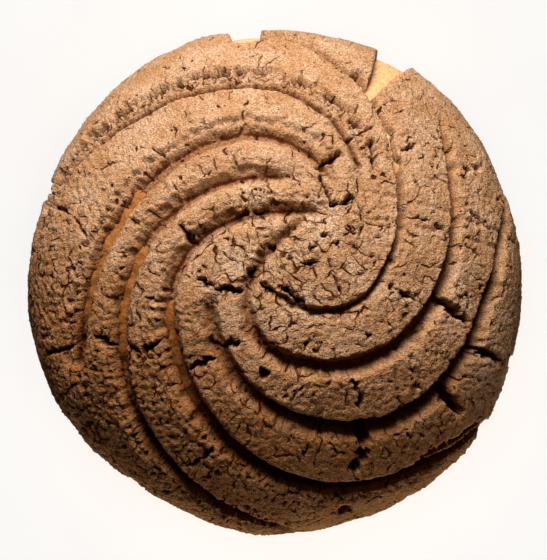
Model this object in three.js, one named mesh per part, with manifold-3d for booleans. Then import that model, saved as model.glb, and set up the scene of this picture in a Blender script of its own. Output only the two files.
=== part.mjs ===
// A concha: a round sweet bun under a cocoa sugar topping, pressed into a pinwheel of curved grooves before baking.
// Millimetres, +Z up, origin at the middle of the flat base. The photographed front of the bun faces -Y.

import * as THREE from "three";
import { ParametricGeometry } from "three/addons/geometries/ParametricGeometry.js";
import { mergeVertices } from "three/addons/utils/BufferGeometryUtils.js";
import Module from "manifold-3d";

const wasm = await Module();
wasm.setup();

const degrees = THREE.MathUtils.degToRad;

// Outer form: a wide crown arc that passes into a tighter shoulder arc, which curls in under the widest part.
const HEIGHT = 52;
const CROWN_RADIUS = 70;
const CROWN_TILT = degrees(45);
const SHOULDER_RADIUS = 22;

// Uneven rising: waves round the side, each with its number of lobes, its height and the bearing of one peak.
const SWELLS = [
  { lobes: 1, height: 0.8, peak: degrees(31) },
  { lobes: 2, height: 0.7, peak: degrees(100) },
  { lobes: 3, height: 0.45, peak: degrees(75) },
  { lobes: 4, height: 0.15, peak: degrees(24) },
  { lobes: 5, height: 0.3, peak: degrees(49) },
  { lobes: 7, height: 0.24, peak: degrees(5) },
];

// Depth of the bread under the outer form: on the crown, at the widest part and below the topping's rim.
const BREAD_DEPTH_CROWN = 3.9;
const BREAD_DEPTH_WAIST = 2.6;
const BREAD_DEPTH_SIDE = 1.2;
const WAIST_THINS_FROM = degrees(55);
const WAIST_TILT = degrees(90);
const SIDE_FROM = degrees(101);
const SIDE_TO = degrees(116);

// Topping: clear of the bread by the gap, with a wavy lower rim that turns in with a small round.
const GAP = 0.3;
const RIM_TILT = degrees(104);
const RIM_WAVES = [
  { lobes: 5, height: degrees(4.5), peak: degrees(20) },
  { lobes: 9, height: degrees(2.5), peak: degrees(75) },
  { lobes: 14, height: degrees(1.5), peak: degrees(8) },
];
const RIM_ROUND = 1.3;
const FLOOR_THICKNESS = 0.9;

// Pressed grooves: a flat floor between two sloping walls. The floor rises out of the surface at both ends.
const FLOOR_HALF_WIDTH = 0.8;
const WALL_SLOPE = 0.62;
const CUTTER_REACH = 1.4;
const RISE_LENGTH = 9;
const RISE_HEIGHT = 0.5;
const RUN_OUT = 26;
const LAST_STRETCH = 0.98;
const GROOVE_STEP = 4.2;

// Plan of the pinwheel's floors: the start, two handles and end of each curve, its width against the usual, its run-out.
const GROOVES = [
  { start: [-3.3, -3.3], leave: [30.9, -31.4], arrive: [41.6, 44.7], end: [-2.1, 51.6], width: 0.6, runOut: RUN_OUT },
  { start: [8.4, 11.2], leave: [-41.5, -26.7], arrive: [61.5, -46], end: [33.2, 40.8], width: 0.65, runOut: RUN_OUT },
  { start: [-12.6, -5.5], leave: [-18.5, -32.5], arrive: [40, -58.5], end: [49.5, 12.8], width: 0.85, runOut: RUN_OUT },
  { start: [12.4, 12], leave: [-55.5, 20.4], arrive: [-10.7, -82.6], end: [43.7, -30.1], width: 1, runOut: RUN_OUT },
  { start: [5.7, 18.2], leave: [-40, 26.6], arrive: [-48.5, -43.5], end: [0.4, -52.3], width: 1, runOut: RUN_OUT },
  { start: [13.6, 15.2], leave: [3.9, 42.1], arrive: [-39.6, 26], end: [-41.4, -16.5], width: 1, runOut: 0 },
  { start: [18.9, 17.2], leave: [11.2, 57.5], arrive: [-39.7, 34.4], end: [-46.1, 18.9], width: 0.9, runOut: RUN_OUT },
];

// Breaks: gaps where a ridge snapped across in the oven, from groove to groove in plan, with the gap's floor width.
const BREAK_SLOPE = 0.12;
const BREAK_STEP = 4;
const BREAKS = [
  { from: [19.5, -32], to: [18, -43.5], gap: 2.4 },
  { from: [35, -5.5], to: [43, -11.5], gap: 1.8 },
  { from: [44, -17.5], to: [52.5, -17], gap: 1.4 },
  { from: [35, -23.5], to: [41, -31], gap: 2 },
  { from: [-45, -17], to: [-41, -10.5], gap: 1.4 },
  { from: [-40, -13.5], to: [-32.5, -17.5], gap: 1.4 },
  { from: [-31.5, -18.5], to: [-24, -15.5], gap: 1 },
  { from: [-14.5, -17.5], to: [-7, -16.5], gap: 1.1 },
  { from: [-19, -22.5], to: [-12.5, -19.5], gap: 0.9 },
  { from: [-21, 10], to: [-16.5, 4], gap: 0.9 },
  { from: [9.5, 21], to: [14.5, 25.5], gap: 1.2 },
  { from: [12, 12.5], to: [18.5, 15.5], gap: 0.9 },
  { from: [-17, -3], to: [-5.5, -5], gap: 0.8 },
  { from: [-20, -43], to: [-12.5, -38.5], gap: 1.2 },
];

// Notches: places where the rim broke away down to the bread. Each widens from its tip, at a bearing and a tilt, to the
// edge of the rim, with the spread measured as a bearing to either side.
const NOTCH_STEP = 5;
const NOTCH_FAN = [-1, -0.5, 0, 0.5, 1];
const NOTCH_END_TILT = degrees(125);
const NOTCHES = [
  { bearing: degrees(96.5), tip: 3.6, spread: degrees(4.4), startTilt: degrees(64) },
  { bearing: degrees(62.5), tip: 3, spread: degrees(4.4), startTilt: degrees(48) },
  { bearing: degrees(157.5), tip: 2.8, spread: degrees(4.6), startTilt: degrees(74) },
  { bearing: degrees(236), tip: 2.8, spread: degrees(4.6), startTilt: degrees(80) },
  { bearing: degrees(326), tip: 1.6, spread: degrees(2.4), startTilt: degrees(74) },
  { bearing: degrees(341), tip: 1.6, spread: degrees(2.4), startTilt: degrees(74) },
];

// Facets of the plain surfaces before the grooves are cut.
const SLICES = 60;
const CROWN_ROWS = 13;
const RIM_ROWS = 3;
const SIDE_ROWS = 9;
const BASE_ROWS = 2;
const WELD = 0.001;
const SLIVER = 0.04;

// Colours as photographed in a neutral light.
const BREAD_COLOUR = 0xc98a4c;
const BREAD_ROUGHNESS = 0.8;
const TOPPING_COLOUR = 0xa97a55;
const TOPPING_ROUGHNESS = 0.9;

// Centres of the two arcs: the crown's on the axis, the shoulder's on a ring about it.
const CROWN_CENTRE = HEIGHT - CROWN_RADIUS;
const RING_RADIUS = (CROWN_RADIUS - SHOULDER_RADIUS) * Math.sin(CROWN_TILT);
const RING_HEIGHT = CROWN_CENTRE + (CROWN_RADIUS - SHOULDER_RADIUS) * Math.cos(CROWN_TILT);
const CROWN_ARC = CROWN_RADIUS * CROWN_TILT;
const PRESS_DEPTH = BREAD_DEPTH_CROWN - GAP - FLOOR_THICKNESS;

const waves = (list, bearing) =>
  list.reduce((sum, { lobes, height, peak }) => sum + height * Math.cos(lobes * (bearing - peak)), 0);

const ease = (from, to, value) => THREE.MathUtils.smoothstep(value, from, to);

// Unit normal of the outer form, by the tilt of the surface and the bearing round the axis.
function normalAt(tilt, bearing) {
  const flat = Math.sin(tilt);
  return new THREE.Vector3(flat * Math.cos(bearing), flat * Math.sin(bearing), Math.cos(tilt));
}

// Point of the outer form, moved out along its normal by a lift (in when negative).
function surfaceAt(tilt, bearing, lift) {
  const onCrown = tilt <= CROWN_TILT;
  const ring = onCrown ? 0 : RING_RADIUS;
  const level = onCrown ? CROWN_CENTRE : RING_HEIGHT;
  const centre = new THREE.Vector3(ring * Math.cos(bearing), ring * Math.sin(bearing), level);
  const radius = onCrown ? CROWN_RADIUS : SHOULDER_RADIUS;
  const swell = waves(SWELLS, bearing) * Math.sin(tilt) ** 2;
  return centre.addScaledVector(normalAt(tilt, bearing), radius + swell + lift);
}

// Depth of the bread under the outer form at a tilt.
function breadDepth(tilt) {
  const thinned = ease(WAIST_THINS_FROM, WAIST_TILT, tilt);
  const upper = THREE.MathUtils.lerp(BREAD_DEPTH_CROWN, BREAD_DEPTH_WAIST, thinned);
  return THREE.MathUtils.lerp(upper, BREAD_DEPTH_SIDE, ease(SIDE_FROM, SIDE_TO, tilt));
}

// Tilt of the form at a depth under its surface, by the distance from the axis in plan, on the upper side.
function tiltAbove(distance, depth) {
  const crown = CROWN_RADIUS - depth;
  if (distance <= crown * Math.sin(CROWN_TILT)) return Math.asin(distance / crown);
  return Math.asin(Math.min(1, (distance - RING_RADIUS) / (SHOULDER_RADIUS - depth)));
}

// The outer form laid flat: a plan point at a depth keeps its bearing and takes its arc length from the top as distance.
function unroll(x, y, depth) {
  const tilt = tiltAbove(Math.hypot(x, y), depth);
  const arc = tilt <= CROWN_TILT ? CROWN_RADIUS * tilt : CROWN_ARC + SHOULDER_RADIUS * (tilt - CROWN_TILT);
  return new THREE.Vector2(x, y).setLength(arc);
}

// Tilt and bearing of a point of the flat-laid form.
function roll(flat) {
  const arc = flat.length();
  const tilt = arc <= CROWN_ARC ? arc / CROWN_RADIUS : CROWN_TILT + (arc - CROWN_ARC) / SHOULDER_RADIUS;
  return { tilt, bearing: flat.angle() };
}

// A line over the form that carries a cutter, which stands on the surface's normal with its floor at a lift.
class FormLine extends THREE.Curve {
  constructor(flatAt, floorLift) {
    super();
    this.flatAt = flatAt;
    this.floorLift = floorLift;
  }

  getPoint(t, target = new THREE.Vector3()) {
    const { tilt, bearing } = roll(this.flatAt(t));
    return target.copy(surfaceAt(tilt, bearing, this.floorLift(t, tilt)));
  }

  computeFrenetFrames(steps) {
    const frames = { tangents: [], normals: [], binormals: [] };
    for (let i = 0; i <= steps; i += 1) {
      const tangent = this.getTangentAt(i / steps);
      const { tilt, bearing } = roll(this.flatAt(this.getUtoTmapping(i / steps)));
      const across = normalAt(tilt, bearing).cross(tangent).normalize();
      frames.tangents.push(tangent);
      frames.normals.push(across);
      frames.binormals.push(new THREE.Vector3().crossVectors(tangent, across));
    }
    return frames;
  }
}

// Closed solid of a mesh: joins its seams and poles and drops the triangles that closed up there.
function solid(geometry) {
  geometry.deleteAttribute("normal");
  geometry.deleteAttribute("uv");
  const joined = mergeVertices(geometry, WELD);
  const corners = joined.index.array;
  const kept = [];
  for (let i = 0; i < corners.length; i += 3) {
    const [a, b, c] = corners.slice(i, i + 3);
    if (a !== b && b !== c && c !== a) kept.push(a, b, c);
  }
  return new wasm.Manifold(new wasm.Mesh({
    numProp: 3,
    vertProperties: Float32Array.from(joined.attributes.position.array),
    triVerts: Uint32Array.from(kept),
  }));
}

// Cutter with a flat floor and sloping walls, drawn along a line over the form.
function cutter(line, floorHalfWidth, slope, height, step) {
  const mouth = floorHalfWidth + height * slope;
  const section = new THREE.Shape();
  section.moveTo(-floorHalfWidth, 0);
  section.lineTo(floorHalfWidth, 0);
  section.lineTo(mouth, height);
  section.lineTo(-mouth, height);
  const steps = Math.max(2, Math.round(line.getLength() / step));
  return solid(new THREE.ExtrudeGeometry(section, { extrudePath: line, steps, bevelEnabled: false }));
}

// Straight line in plan as a run over the flat-laid form.
function planLine(from, to) {
  return (t) => unroll(THREE.MathUtils.lerp(from[0], to[0], t), THREE.MathUtils.lerp(from[1], to[1], t), 0);
}

// Cutter of one pressed groove: the plan curve over the form, then straight on down the side.
function grooveCutter({ start, leave, arrive, end, width, runOut }) {
  const plan = new THREE.CubicBezierCurve(...[start, leave, arrive, end].map(([x, y]) => new THREE.Vector2(x, y)));
  const length = plan.getLength();
  const share = length / (length + runOut);
  const floorAt = (point) => unroll(point.x, point.y, PRESS_DEPTH);
  const last = floorAt(plan.getPoint(1));
  const onward = last.clone().sub(floorAt(plan.getPoint(LAST_STRETCH))).normalize();
  const flatAt = (t) => {
    if (t > share) return last.clone().addScaledVector(onward, (t - share) * (length + runOut));
    return floorAt(plan.getPointAt(Math.min(1, t / share)));
  };
  const floorLift = (t, tilt) => {
    const floor = FLOOR_THICKNESS + GAP - breadDepth(tilt);
    const fromEnd = (length + runOut) * Math.min(t, 1 - t);
    return THREE.MathUtils.lerp(RISE_HEIGHT, floor, ease(0, RISE_LENGTH, fromEnd));
  };
  const height = BREAD_DEPTH_CROWN + CUTTER_REACH;
  const line = new FormLine(flatAt, floorLift);
  return cutter(line, FLOOR_HALF_WIDTH * width, WALL_SLOPE * width, height, GROOVE_STEP);
}

// Cutter of one break across a ridge, down to the floor of the grooves on either side.
function breakCutter({ from, to, gap }) {
  const line = new FormLine(planLine(from, to), (t, tilt) => FLOOR_THICKNESS + GAP - breadDepth(tilt));
  return cutter(line, gap / 2, BREAK_SLOPE, BREAD_DEPTH_CROWN + CUTTER_REACH, BREAK_STEP);
}

// Point of the flat-laid form at a tilt on the shoulder.
function flatAtTilt(tilt, bearing) {
  const arc = CROWN_ARC + SHOULDER_RADIUS * (tilt - CROWN_TILT);
  return new THREE.Vector2(Math.cos(bearing), Math.sin(bearing)).multiplyScalar(arc);
}

// Cutters of one rim notch, right through the topping: runs that spread like a fan and overlap.
function notchCutters({ bearing, tip, spread, startTilt }) {
  return NOTCH_FAN.map((side) => {
    const inner = flatAtTilt(startTilt, bearing);
    const outer = flatAtTilt(NOTCH_END_TILT, bearing + side * spread);
    const line = new FormLine((t) => inner.clone().lerp(outer, t), () => -BREAD_DEPTH_CROWN - CUTTER_REACH);
    return cutter(line, tip / 2, BREAK_SLOPE, BREAD_DEPTH_CROWN + 2 * CUTTER_REACH, NOTCH_STEP);
  });
}

// Surface of revolution with uneven rows: each row gives its point at a bearing, from the top round to the axis again.
function turned(rows) {
  const place = (u, v, target) => {
    const bearing = -2 * Math.PI * u;
    target.copy(rows[Math.round(v * (rows.length - 1))](bearing));
  };
  return solid(new ParametricGeometry(place, SLICES, rows.length - 1));
}

// Bread: the dome under the topping, the bare side and the flat base, grown all round by a clearance.
function makeBun(clearance) {
  const skin = (tilt, bearing) => surfaceAt(tilt, bearing, clearance - breadDepth(tilt));
  const baseTilt = Math.PI - Math.acos(RING_HEIGHT / (SHOULDER_RADIUS - BREAD_DEPTH_SIDE));
  const baseEdge = (bearing) => skin(baseTilt, bearing).setZ(0);
  const rows = [];
  for (let i = 0; i <= CROWN_ROWS; i += 1) {
    rows.push((bearing) => skin((WAIST_TILT * i) / CROWN_ROWS, bearing));
  }
  for (let i = 1; i < SIDE_ROWS; i += 1) {
    rows.push((bearing) => skin(THREE.MathUtils.lerp(WAIST_TILT, baseTilt, i / SIDE_ROWS), bearing));
  }
  for (let i = 0; i <= BASE_ROWS; i += 1) {
    rows.push((bearing) => baseEdge(bearing).multiplyScalar(1 - i / BASE_ROWS));
  }
  return turned(rows);
}

// Topping: the skin over the bread, pressed with the grooves, snapped at the breaks and notched at the rim.
function makeTopping() {
  const rimTilt = (bearing) => RIM_TILT + waves(RIM_WAVES, bearing);
  const rows = [];
  for (let i = 0; i <= CROWN_ROWS; i += 1) {
    rows.push((bearing) => surfaceAt((rimTilt(bearing) * i) / CROWN_ROWS, bearing, 0));
  }
  for (let i = 1; i <= RIM_ROWS; i += 1) {
    const turn = (Math.PI * i) / RIM_ROWS;
    rows.push((bearing) => {
      const reach = (RIM_ROUND / SHOULDER_RADIUS) * Math.sin(turn);
      return surfaceAt(rimTilt(bearing) + reach, bearing, RIM_ROUND * (Math.cos(turn) - 1));
    });
  }
  rows.push(() => new THREE.Vector3(0, 0, RING_HEIGHT));
  const skin = turned(rows).subtract(makeBun(GAP));
  const cutters = [...GROOVES.map(grooveCutter), ...BREAKS.map(breakCutter), ...NOTCHES.flatMap(notchCutters)];
  return cutters.reduce((body, tool) => body.subtract(tool), skin).simplify(SLIVER);
}

// Named mesh of a finished solid.
function meshOf(body, name, colour, roughness) {
  const { vertProperties, triVerts } = body.getMesh();
  const geometry = new THREE.BufferGeometry();
  geometry.setAttribute("position", new THREE.BufferAttribute(vertProperties, 3));
  geometry.setIndex(new THREE.BufferAttribute(triVerts, 1));
  geometry.computeVertexNormals();
  const mesh = new THREE.Mesh(geometry, new THREE.MeshStandardMaterial({ color: colour, roughness, metalness: 0 }));
  mesh.name = name;
  return mesh;
}

const concha = new THREE.Group();
concha.name = "concha";
concha.add(meshOf(makeBun(0), "bun", BREAD_COLOUR, BREAD_ROUGHNESS));
concha.add(meshOf(makeTopping(), "topping", TOPPING_COLOUR, TOPPING_ROUGHNESS));

export default concha;
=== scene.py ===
"""Looks of a concha: a round sweet bun under a cracked cocoa sugar topping that is pressed into a pinwheel.

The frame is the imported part's: metres, +Z up, origin at the middle of the flat base, photographed front
towards -Y. Sizes are held in millimetres and turned to metres where a mesh is made. The topping's surface is
worked out on the flat-laid form: a map of the dome in which a point keeps its bearing and lies at its arc
length from the top.
"""

import logging
import math
from dataclasses import dataclass, fields
from enum import Enum
from functools import reduce
from typing import Any, Union

import bpy
import numpy as np
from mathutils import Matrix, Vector


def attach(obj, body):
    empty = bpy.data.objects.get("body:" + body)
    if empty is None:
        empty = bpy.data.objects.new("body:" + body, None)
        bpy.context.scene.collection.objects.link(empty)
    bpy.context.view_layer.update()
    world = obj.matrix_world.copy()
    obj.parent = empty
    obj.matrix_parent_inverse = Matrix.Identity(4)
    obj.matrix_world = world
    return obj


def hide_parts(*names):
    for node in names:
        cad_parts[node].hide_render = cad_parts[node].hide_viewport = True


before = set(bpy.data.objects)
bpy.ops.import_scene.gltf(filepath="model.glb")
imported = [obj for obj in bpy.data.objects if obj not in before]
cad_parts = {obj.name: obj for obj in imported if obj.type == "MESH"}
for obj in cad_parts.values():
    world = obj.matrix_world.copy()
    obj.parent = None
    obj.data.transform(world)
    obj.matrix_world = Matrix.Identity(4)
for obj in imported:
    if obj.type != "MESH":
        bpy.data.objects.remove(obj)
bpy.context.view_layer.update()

LOG = logging.getLogger("concha")
BODY = "root"
BAKE_MAP = "OFBake"
MM = 0.001
SEED = 1862
# Points that are placed beside a groove at a time, so that their distances fit in memory.
BATCH = 6000

Array = np.ndarray
Plan = tuple[float, float]
Span = tuple[float, float]
Triple = tuple[float, float, float]
# A ramp is two readings between which a share goes from 0 to 1, or from the third number to the fourth.
Ramp = tuple[float, ...]
Feeds = Union[dict[Union[str, int], Any], tuple[Any, ...]]


class CadNode(Enum):
    """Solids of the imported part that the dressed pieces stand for."""

    BUN = "bun"
    TOPPING = "topping"


class Slot(Enum):
    """Names for the material slots; nothing in this script uses them."""

    BREAD = "baked_bread"
    TOPPING = "cocoa_sugar_topping"


class Mark(Enum):
    """Per-point marks that the topping's finish reads.

    Shares go from 0 to 1. A crack's mark is its distance in millimetres, with a sign that changes across it
    so that it stays sharp between the points of the mesh. A gape is half of its opening in millimetres.
    """

    # Fat stain and painted crease shade on the groove walls and floors.
    STAIN_AND_SHADE = "stained"
    SPLIT = "split"
    # Painted shade in the hollows between grains and beside cracks.
    HOLLOW_SHADE = "hollow"
    CRACK = "crack"
    GAPE = "gape"
    HAIR_CRACK = "hair_crack"
    HAIR_GAPE = "hair_gape"
    SNAP = "snap"
    SNAP_GAPE = "snap_gape"
    PIT = "pit"
    # Darker towards the rim, and painted shade on the front side, away from the key lamp.
    RIM_DARK_AND_SHADE = "browned"


class Node(Enum):
    """Kinds of shader node that the finishes are made of."""

    PLACE = "ShaderNodeTexCoord"
    MARK = "ShaderNodeAttribute"
    AXES = "ShaderNodeSeparateXYZ"
    CHANNELS = "ShaderNodeSeparateColor"
    NOISE = "ShaderNodeTexNoise"
    CELLS = "ShaderNodeTexVoronoi"
    RANGE = "ShaderNodeMapRange"
    MATH = "ShaderNodeMath"
    VECTOR = "ShaderNodeVectorMath"
    MIX = "ShaderNodeMix"
    BUMP = "ShaderNodeBump"
    SHADER = "ShaderNodeBsdfPrincipled"
    OUTPUT = "ShaderNodeOutputMaterial"


class Blend(Enum):
    """How a coat of colour goes over what is under it."""

    OVER = "MIX"
    STAIN = "MULTIPLY"


LINES = ((Mark.CRACK, Mark.GAPE), (Mark.HAIR_CRACK, Mark.HAIR_GAPE), (Mark.SNAP, Mark.SNAP_GAPE))


def linear(code: str) -> tuple[float, float, float, float]:
    """Turns an sRGB hex colour to linear light.

    Args:
        code: Six hex digits with a leading hash sign.

    Returns:
        Linear red, green and blue with full alpha.
    """
    parts = [int(code[i:i + 2], 16) / 255 for i in (1, 3, 5)]
    shade = [p / 12.92 if p <= 0.04045 else ((p + 0.055) / 1.055) ** 2.4 for p in parts]
    return (shade[0], shade[1], shade[2], 1.0)


def ease(low: Any, high: Any, value: Any) -> Any:
    """Smooth step from 0 at low to 1 at high.

    Args:
        low: Where the step starts.
        high: Where it ends.
        value: Where it is read, a number or an array.

    Returns:
        The step's value, from 0 to 1.
    """
    share = np.clip((value - low) / (high - low), 0.0, 1.0)
    return share * share * (3 - 2 * share)


def taper(share: Array, values: Triple) -> Array:
    """Value at shares of a groove's length, from its values at the start, middle and end."""
    return np.interp(share, [0, 0.5, 1], values)


@dataclass(frozen=True)
class Cells:
    """Where points lie among irregular cells, as dried paste shrinks into.

    Distances are in millimetres. The border's distance has a sign that changes across it. The draws go from 0
    to 1, one for each cell and one for each border, and the way is a unit vector along the border.
    """

    middle: Array
    border: Array
    draw: Array
    border_draw: Array
    way: Array


class Grit:
    """Seeded noise over the flat-laid form: soft lumps, and cells with the cracks between them.

    Points that are shifted by a set number read another part of it, so that no two uses repeat each other.
    """

    TABLE = 4096

    def __init__(self, seed: int) -> None:
        """Draws the tables.

        Args:
            seed: Number that fixes every draw.
        """
        draw = np.random.default_rng(seed)
        turn = draw.uniform(0, 2 * math.pi, self.TABLE)
        self.order = draw.permutation(self.TABLE)
        self.slope = np.stack([np.cos(turn), np.sin(turn)], axis=1)
        self.share = draw.random((self.TABLE, 4))

    def pick(self, column: Array, row: Array) -> Array:
        """Table entry of a lattice place."""
        mask = self.TABLE - 1
        return self.order[(self.order[column & mask] + row) & mask]

    def lumps(self, flat: Array, size: float, octaves: int = 1) -> Array:
        """Soft noise.

        Args:
            flat: Points of the flat-laid form.
            size: Size of a lump in millimetres.
            octaves: Number of layers, each half the size and height of the last.

        Returns:
            Heights from about -1 to 1.
        """
        total = np.zeros(len(flat))
        for layer in range(octaves):
            place = flat / size * 2 ** layer + 17.3 * layer
            corner = np.floor(place).astype(np.int64)
            inside = place - corner
            fade = inside ** 3 * (inside * (inside * 6 - 15) + 10)
            value = []
            for right in (0, 1):
                for up in (0, 1):
                    slope = self.slope[self.pick(corner[:, 0] + right, corner[:, 1] + up)]
                    away = inside - np.array([right, up])
                    value.append((slope * away).sum(axis=1))
            low = value[0] + fade[:, 1] * (value[1] - value[0])
            high = value[2] + fade[:, 1] * (value[3] - value[2])
            total += 1.5 * (low + fade[:, 0] * (high - low)) / 2 ** layer
        return total

    def cells(self, flat: Array, size: float) -> Cells:
        """Irregular cells.

        Args:
            flat: Points of the flat-laid form.
            size: Size of a cell in millimetres.

        Returns:
            Where the points lie among them.
        """
        place = flat / size
        base = np.floor(place).astype(np.int64)
        near = np.full((2, len(flat)), 9.0)
        spot = np.zeros((2, len(flat), 2))
        name = np.zeros((2, len(flat)), np.int64)
        for right in (-1, 0, 1):
            for up in (-1, 0, 1):
                column, row = base[:, 0] + right, base[:, 1] + up
                key = self.pick(column, row)
                centre = np.stack([column, row], axis=1) + self.share[key, :2]
                away = np.hypot(*(centre - place).T)
                first, second = away < near[0], away < near[1]
                second &= ~first
                for store, value in ((near, away), (spot, centre), (name, key)):
                    store[1][first] = store[0][first]
                    store[0][first] = value[first]
                    store[1][second] = value[second]
        between = spot[1] - spot[0]
        gap = np.maximum(np.hypot(*between.T), 1e-6)
        border = (near[1] ** 2 - near[0] ** 2) / (2 * gap) * np.where(name[0] < name[1], 1, -1)
        pair = self.order[(name[0] + name[1]) & (self.TABLE - 1)]
        way = np.stack([-between[:, 1], between[:, 0]], axis=1) / gap[:, None]
        return Cells(near[0] * size, border * size, self.share[name[0], 2], self.share[pair, 3], way)


@dataclass(frozen=True)
class CrackNet:
    """A network of shrinkage cracks along the borders of irregular plates.

    Sizes are in millimetres: of a plate, of half of the widest opening and of the bends in the borders.
    """

    plate: float
    gape: float
    wander: float
    shift: float
    bend_share: float = 0.6
    taper_share: float = 0.9
    taper_mean: float = 0.62
    taper_swing: float = 0.75
    last_draw: float = 0.45

    def lay(self, flat: Array, grit: Grit, chance: Array, grain: Array) -> tuple[Cells, Array]:
        """Lays the network over points of the flat-laid form.

        Args:
            flat: Points, one a row.
            grit: Noise that draws the plates.
            chance: Share of the borders that open, at each point.
            grain: Direction that the cracks keep to at each point; the longer the vector, the more strictly.

        Returns:
            Where the points lie among the plates, and half of the nearest border's opening in millimetres.
        """
        bend_size, taper_size = self.bend_share * self.plate, self.taper_share * self.plate
        bends = [grit.lumps(flat + side * self.shift, bend_size, 2) for side in (1, -1)]
        cells = grit.cells(flat + self.wander * np.stack(bends, axis=1), self.plate)
        stray = np.hypot(*grain.T) - np.abs((cells.way * grain).sum(axis=1))
        swing = self.taper_swing * grit.lumps(flat + 2 * self.shift, taper_size, 2)
        narrowed = np.clip(self.taper_mean + swing, 0, 1)
        opened = ease(0.0, self.last_draw, chance - cells.border_draw - stray) * narrowed
        return cells, self.gape * opened


@dataclass(frozen=True)
class Swell:
    """One wave of uneven rising round the side: lobes, height in mm or degrees, and the bearing of a peak."""

    lobes: int
    height: float
    peak: float

    def at(self, bearing: Array) -> Array:
        """Height of the wave at a bearing in radians."""
        return self.height * np.cos(self.lobes * (bearing - math.radians(self.peak)))


@dataclass(frozen=True)
class Dome:
    """Outer form of the concha: a crown arc, then a shoulder arc that curls in under the widest part."""

    height: float = 52.0
    crown_radius: float = 70.0
    crown_tilt: float = math.radians(45)
    shoulder_radius: float = 22.0
    swells: tuple[Swell, ...] = (
        Swell(1, 0.8, 31), Swell(2, 0.7, 100), Swell(3, 0.45, 75), Swell(4, 0.15, 24), Swell(5, 0.3, 49),
        Swell(7, 0.24, 5))
    bread_depth_crown: float = 3.9
    bread_depth_waist: float = 2.6
    bread_depth_side: float = 1.2
    waist_from: float = math.radians(55)
    waist_tilt: float = math.radians(90)
    side_from: float = math.radians(101)
    side_to: float = math.radians(116)

    @property
    def crown_arc(self) -> float:
        """Arc length of the crown from the top."""
        return self.crown_radius * self.crown_tilt

    @property
    def ring_radius(self) -> float:
        """Distance of the shoulder arc's centre from the axis."""
        return (self.crown_radius - self.shoulder_radius) * math.sin(self.crown_tilt)

    @property
    def ring_height(self) -> float:
        """Height of the shoulder arc's centre, where the bun is widest."""
        drop = (self.crown_radius - self.shoulder_radius) * math.cos(self.crown_tilt)
        return self.height - self.crown_radius + drop

    def tilt_of(self, arc: Array) -> Array:
        """Tilt of the surface at an arc length from the top."""
        beyond = self.crown_tilt + (arc - self.crown_arc) / self.shoulder_radius
        return np.where(arc <= self.crown_arc, arc / self.crown_radius, beyond)

    def arc_of(self, tilt: Any) -> Any:
        """Arc length from the top at a tilt of the surface."""
        beyond = self.crown_arc + self.shoulder_radius * (tilt - self.crown_tilt)
        return np.where(tilt <= self.crown_tilt, self.crown_radius * tilt, beyond)

    def lay_flat(self, plan: Array, depth: float = 0.0) -> Array:
        """Lays plan points of the upper side flat.

        Args:
            plan: Points as seen from straight above, one a row.
            depth: How far under the outer form they are seen, in millimetres.

        Returns:
            The same points on the flat-laid form.
        """
        away = np.hypot(*plan.T)
        crown_radius, side_radius = self.crown_radius - depth, self.shoulder_radius - depth
        crown = np.arcsin(np.clip(away / crown_radius, 0, 1))
        side = np.arcsin(np.clip((away - self.ring_radius) / side_radius, 0, 1))
        tilt = np.where(away <= crown_radius * math.sin(self.crown_tilt), crown, side)
        return plan * (self.arc_of(tilt) / np.maximum(away, 1e-9))[:, None]

    def bread_depth(self, tilt: Array) -> Array:
        """Depth of the bread under the outer form.

        Args:
            tilt: Tilts of the surface.

        Returns:
            Depth at each, in millimetres.
        """
        waist = ease(self.waist_from, self.waist_tilt, tilt)
        upper = self.bread_depth_crown + (self.bread_depth_waist - self.bread_depth_crown) * waist
        return upper + (self.bread_depth_side - upper) * ease(self.side_from, self.side_to, tilt)

    def raise_up(self, flat: Array, lift: Array) -> Array:
        """Puts flat-laid points back on the dome.

        Args:
            flat: Points of the flat-laid form.
            lift: How far each stands out of the outer form, along its normal.

        Returns:
            Points in space, in millimetres.
        """
        bearing = np.arctan2(flat[:, 1], flat[:, 0])
        tilt = self.tilt_of(np.hypot(*flat.T))
        crown = tilt <= self.crown_tilt
        reach = np.where(crown, self.crown_radius, self.shoulder_radius) + lift
        reach += sum(swell.at(bearing) for swell in self.swells) * np.sin(tilt) ** 2
        away = np.where(crown, 0.0, self.ring_radius) + reach * np.sin(tilt)
        level = np.where(crown, self.height - self.crown_radius, self.ring_height) + reach * np.cos(tilt)
        return np.stack([away * np.cos(bearing), away * np.sin(bearing), level], axis=1)

    def away_at(self, arc: float) -> float:
        """Distance from the axis at an arc length from the top, towards +X."""
        return float(np.hypot(*self.raise_up(np.array([[arc, 0.0]]), np.zeros(1))[0, :2]))


@dataclass(frozen=True)
class Wall:
    """One wall of a groove.

    Its run from the floor's edge out to the arris is given in millimetres at the groove's start, middle and
    end. The arris is rounded over a share of the run.
    """

    run: Triple
    soft: float = 0.25

    def share(self, along: Array, beyond: Array) -> Array:
        """Depth of the wall.

        Args:
            along: Places along the groove, as shares of its length.
            beyond: Distances from the floor's edge.

        Returns:
            Share of the full depth at each.
        """
        rest = 1 - beyond / taper(along, self.run)
        rounded = np.maximum(self.soft - np.abs(rest), 0) ** 2 / (4 * self.soft)
        return np.clip(np.maximum(rest, 0) + rounded, 0, 1)


@dataclass(frozen=True)
class Imprint:
    """What pressing leaves at each point, in shares.

    How deep it is pressed, how far it takes fat stain and painted crease shade, how far the bread is bared
    and has risen, how crumbly it is, and where the outer wall gapes: in a seam at its base and under its
    ledge.
    """

    pressed: Array
    stained: Array
    bare: Array
    risen: Array
    crumbly: Array
    seam: Array
    undercut: Array

    def with_other(self, other: "Imprint") -> "Imprint":
        """The greater of this imprint and another at each point."""
        pairs = ((getattr(self, f.name), getattr(other, f.name)) for f in fields(self))
        return Imprint(*(np.maximum(a, b) for a, b in pairs))


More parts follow.
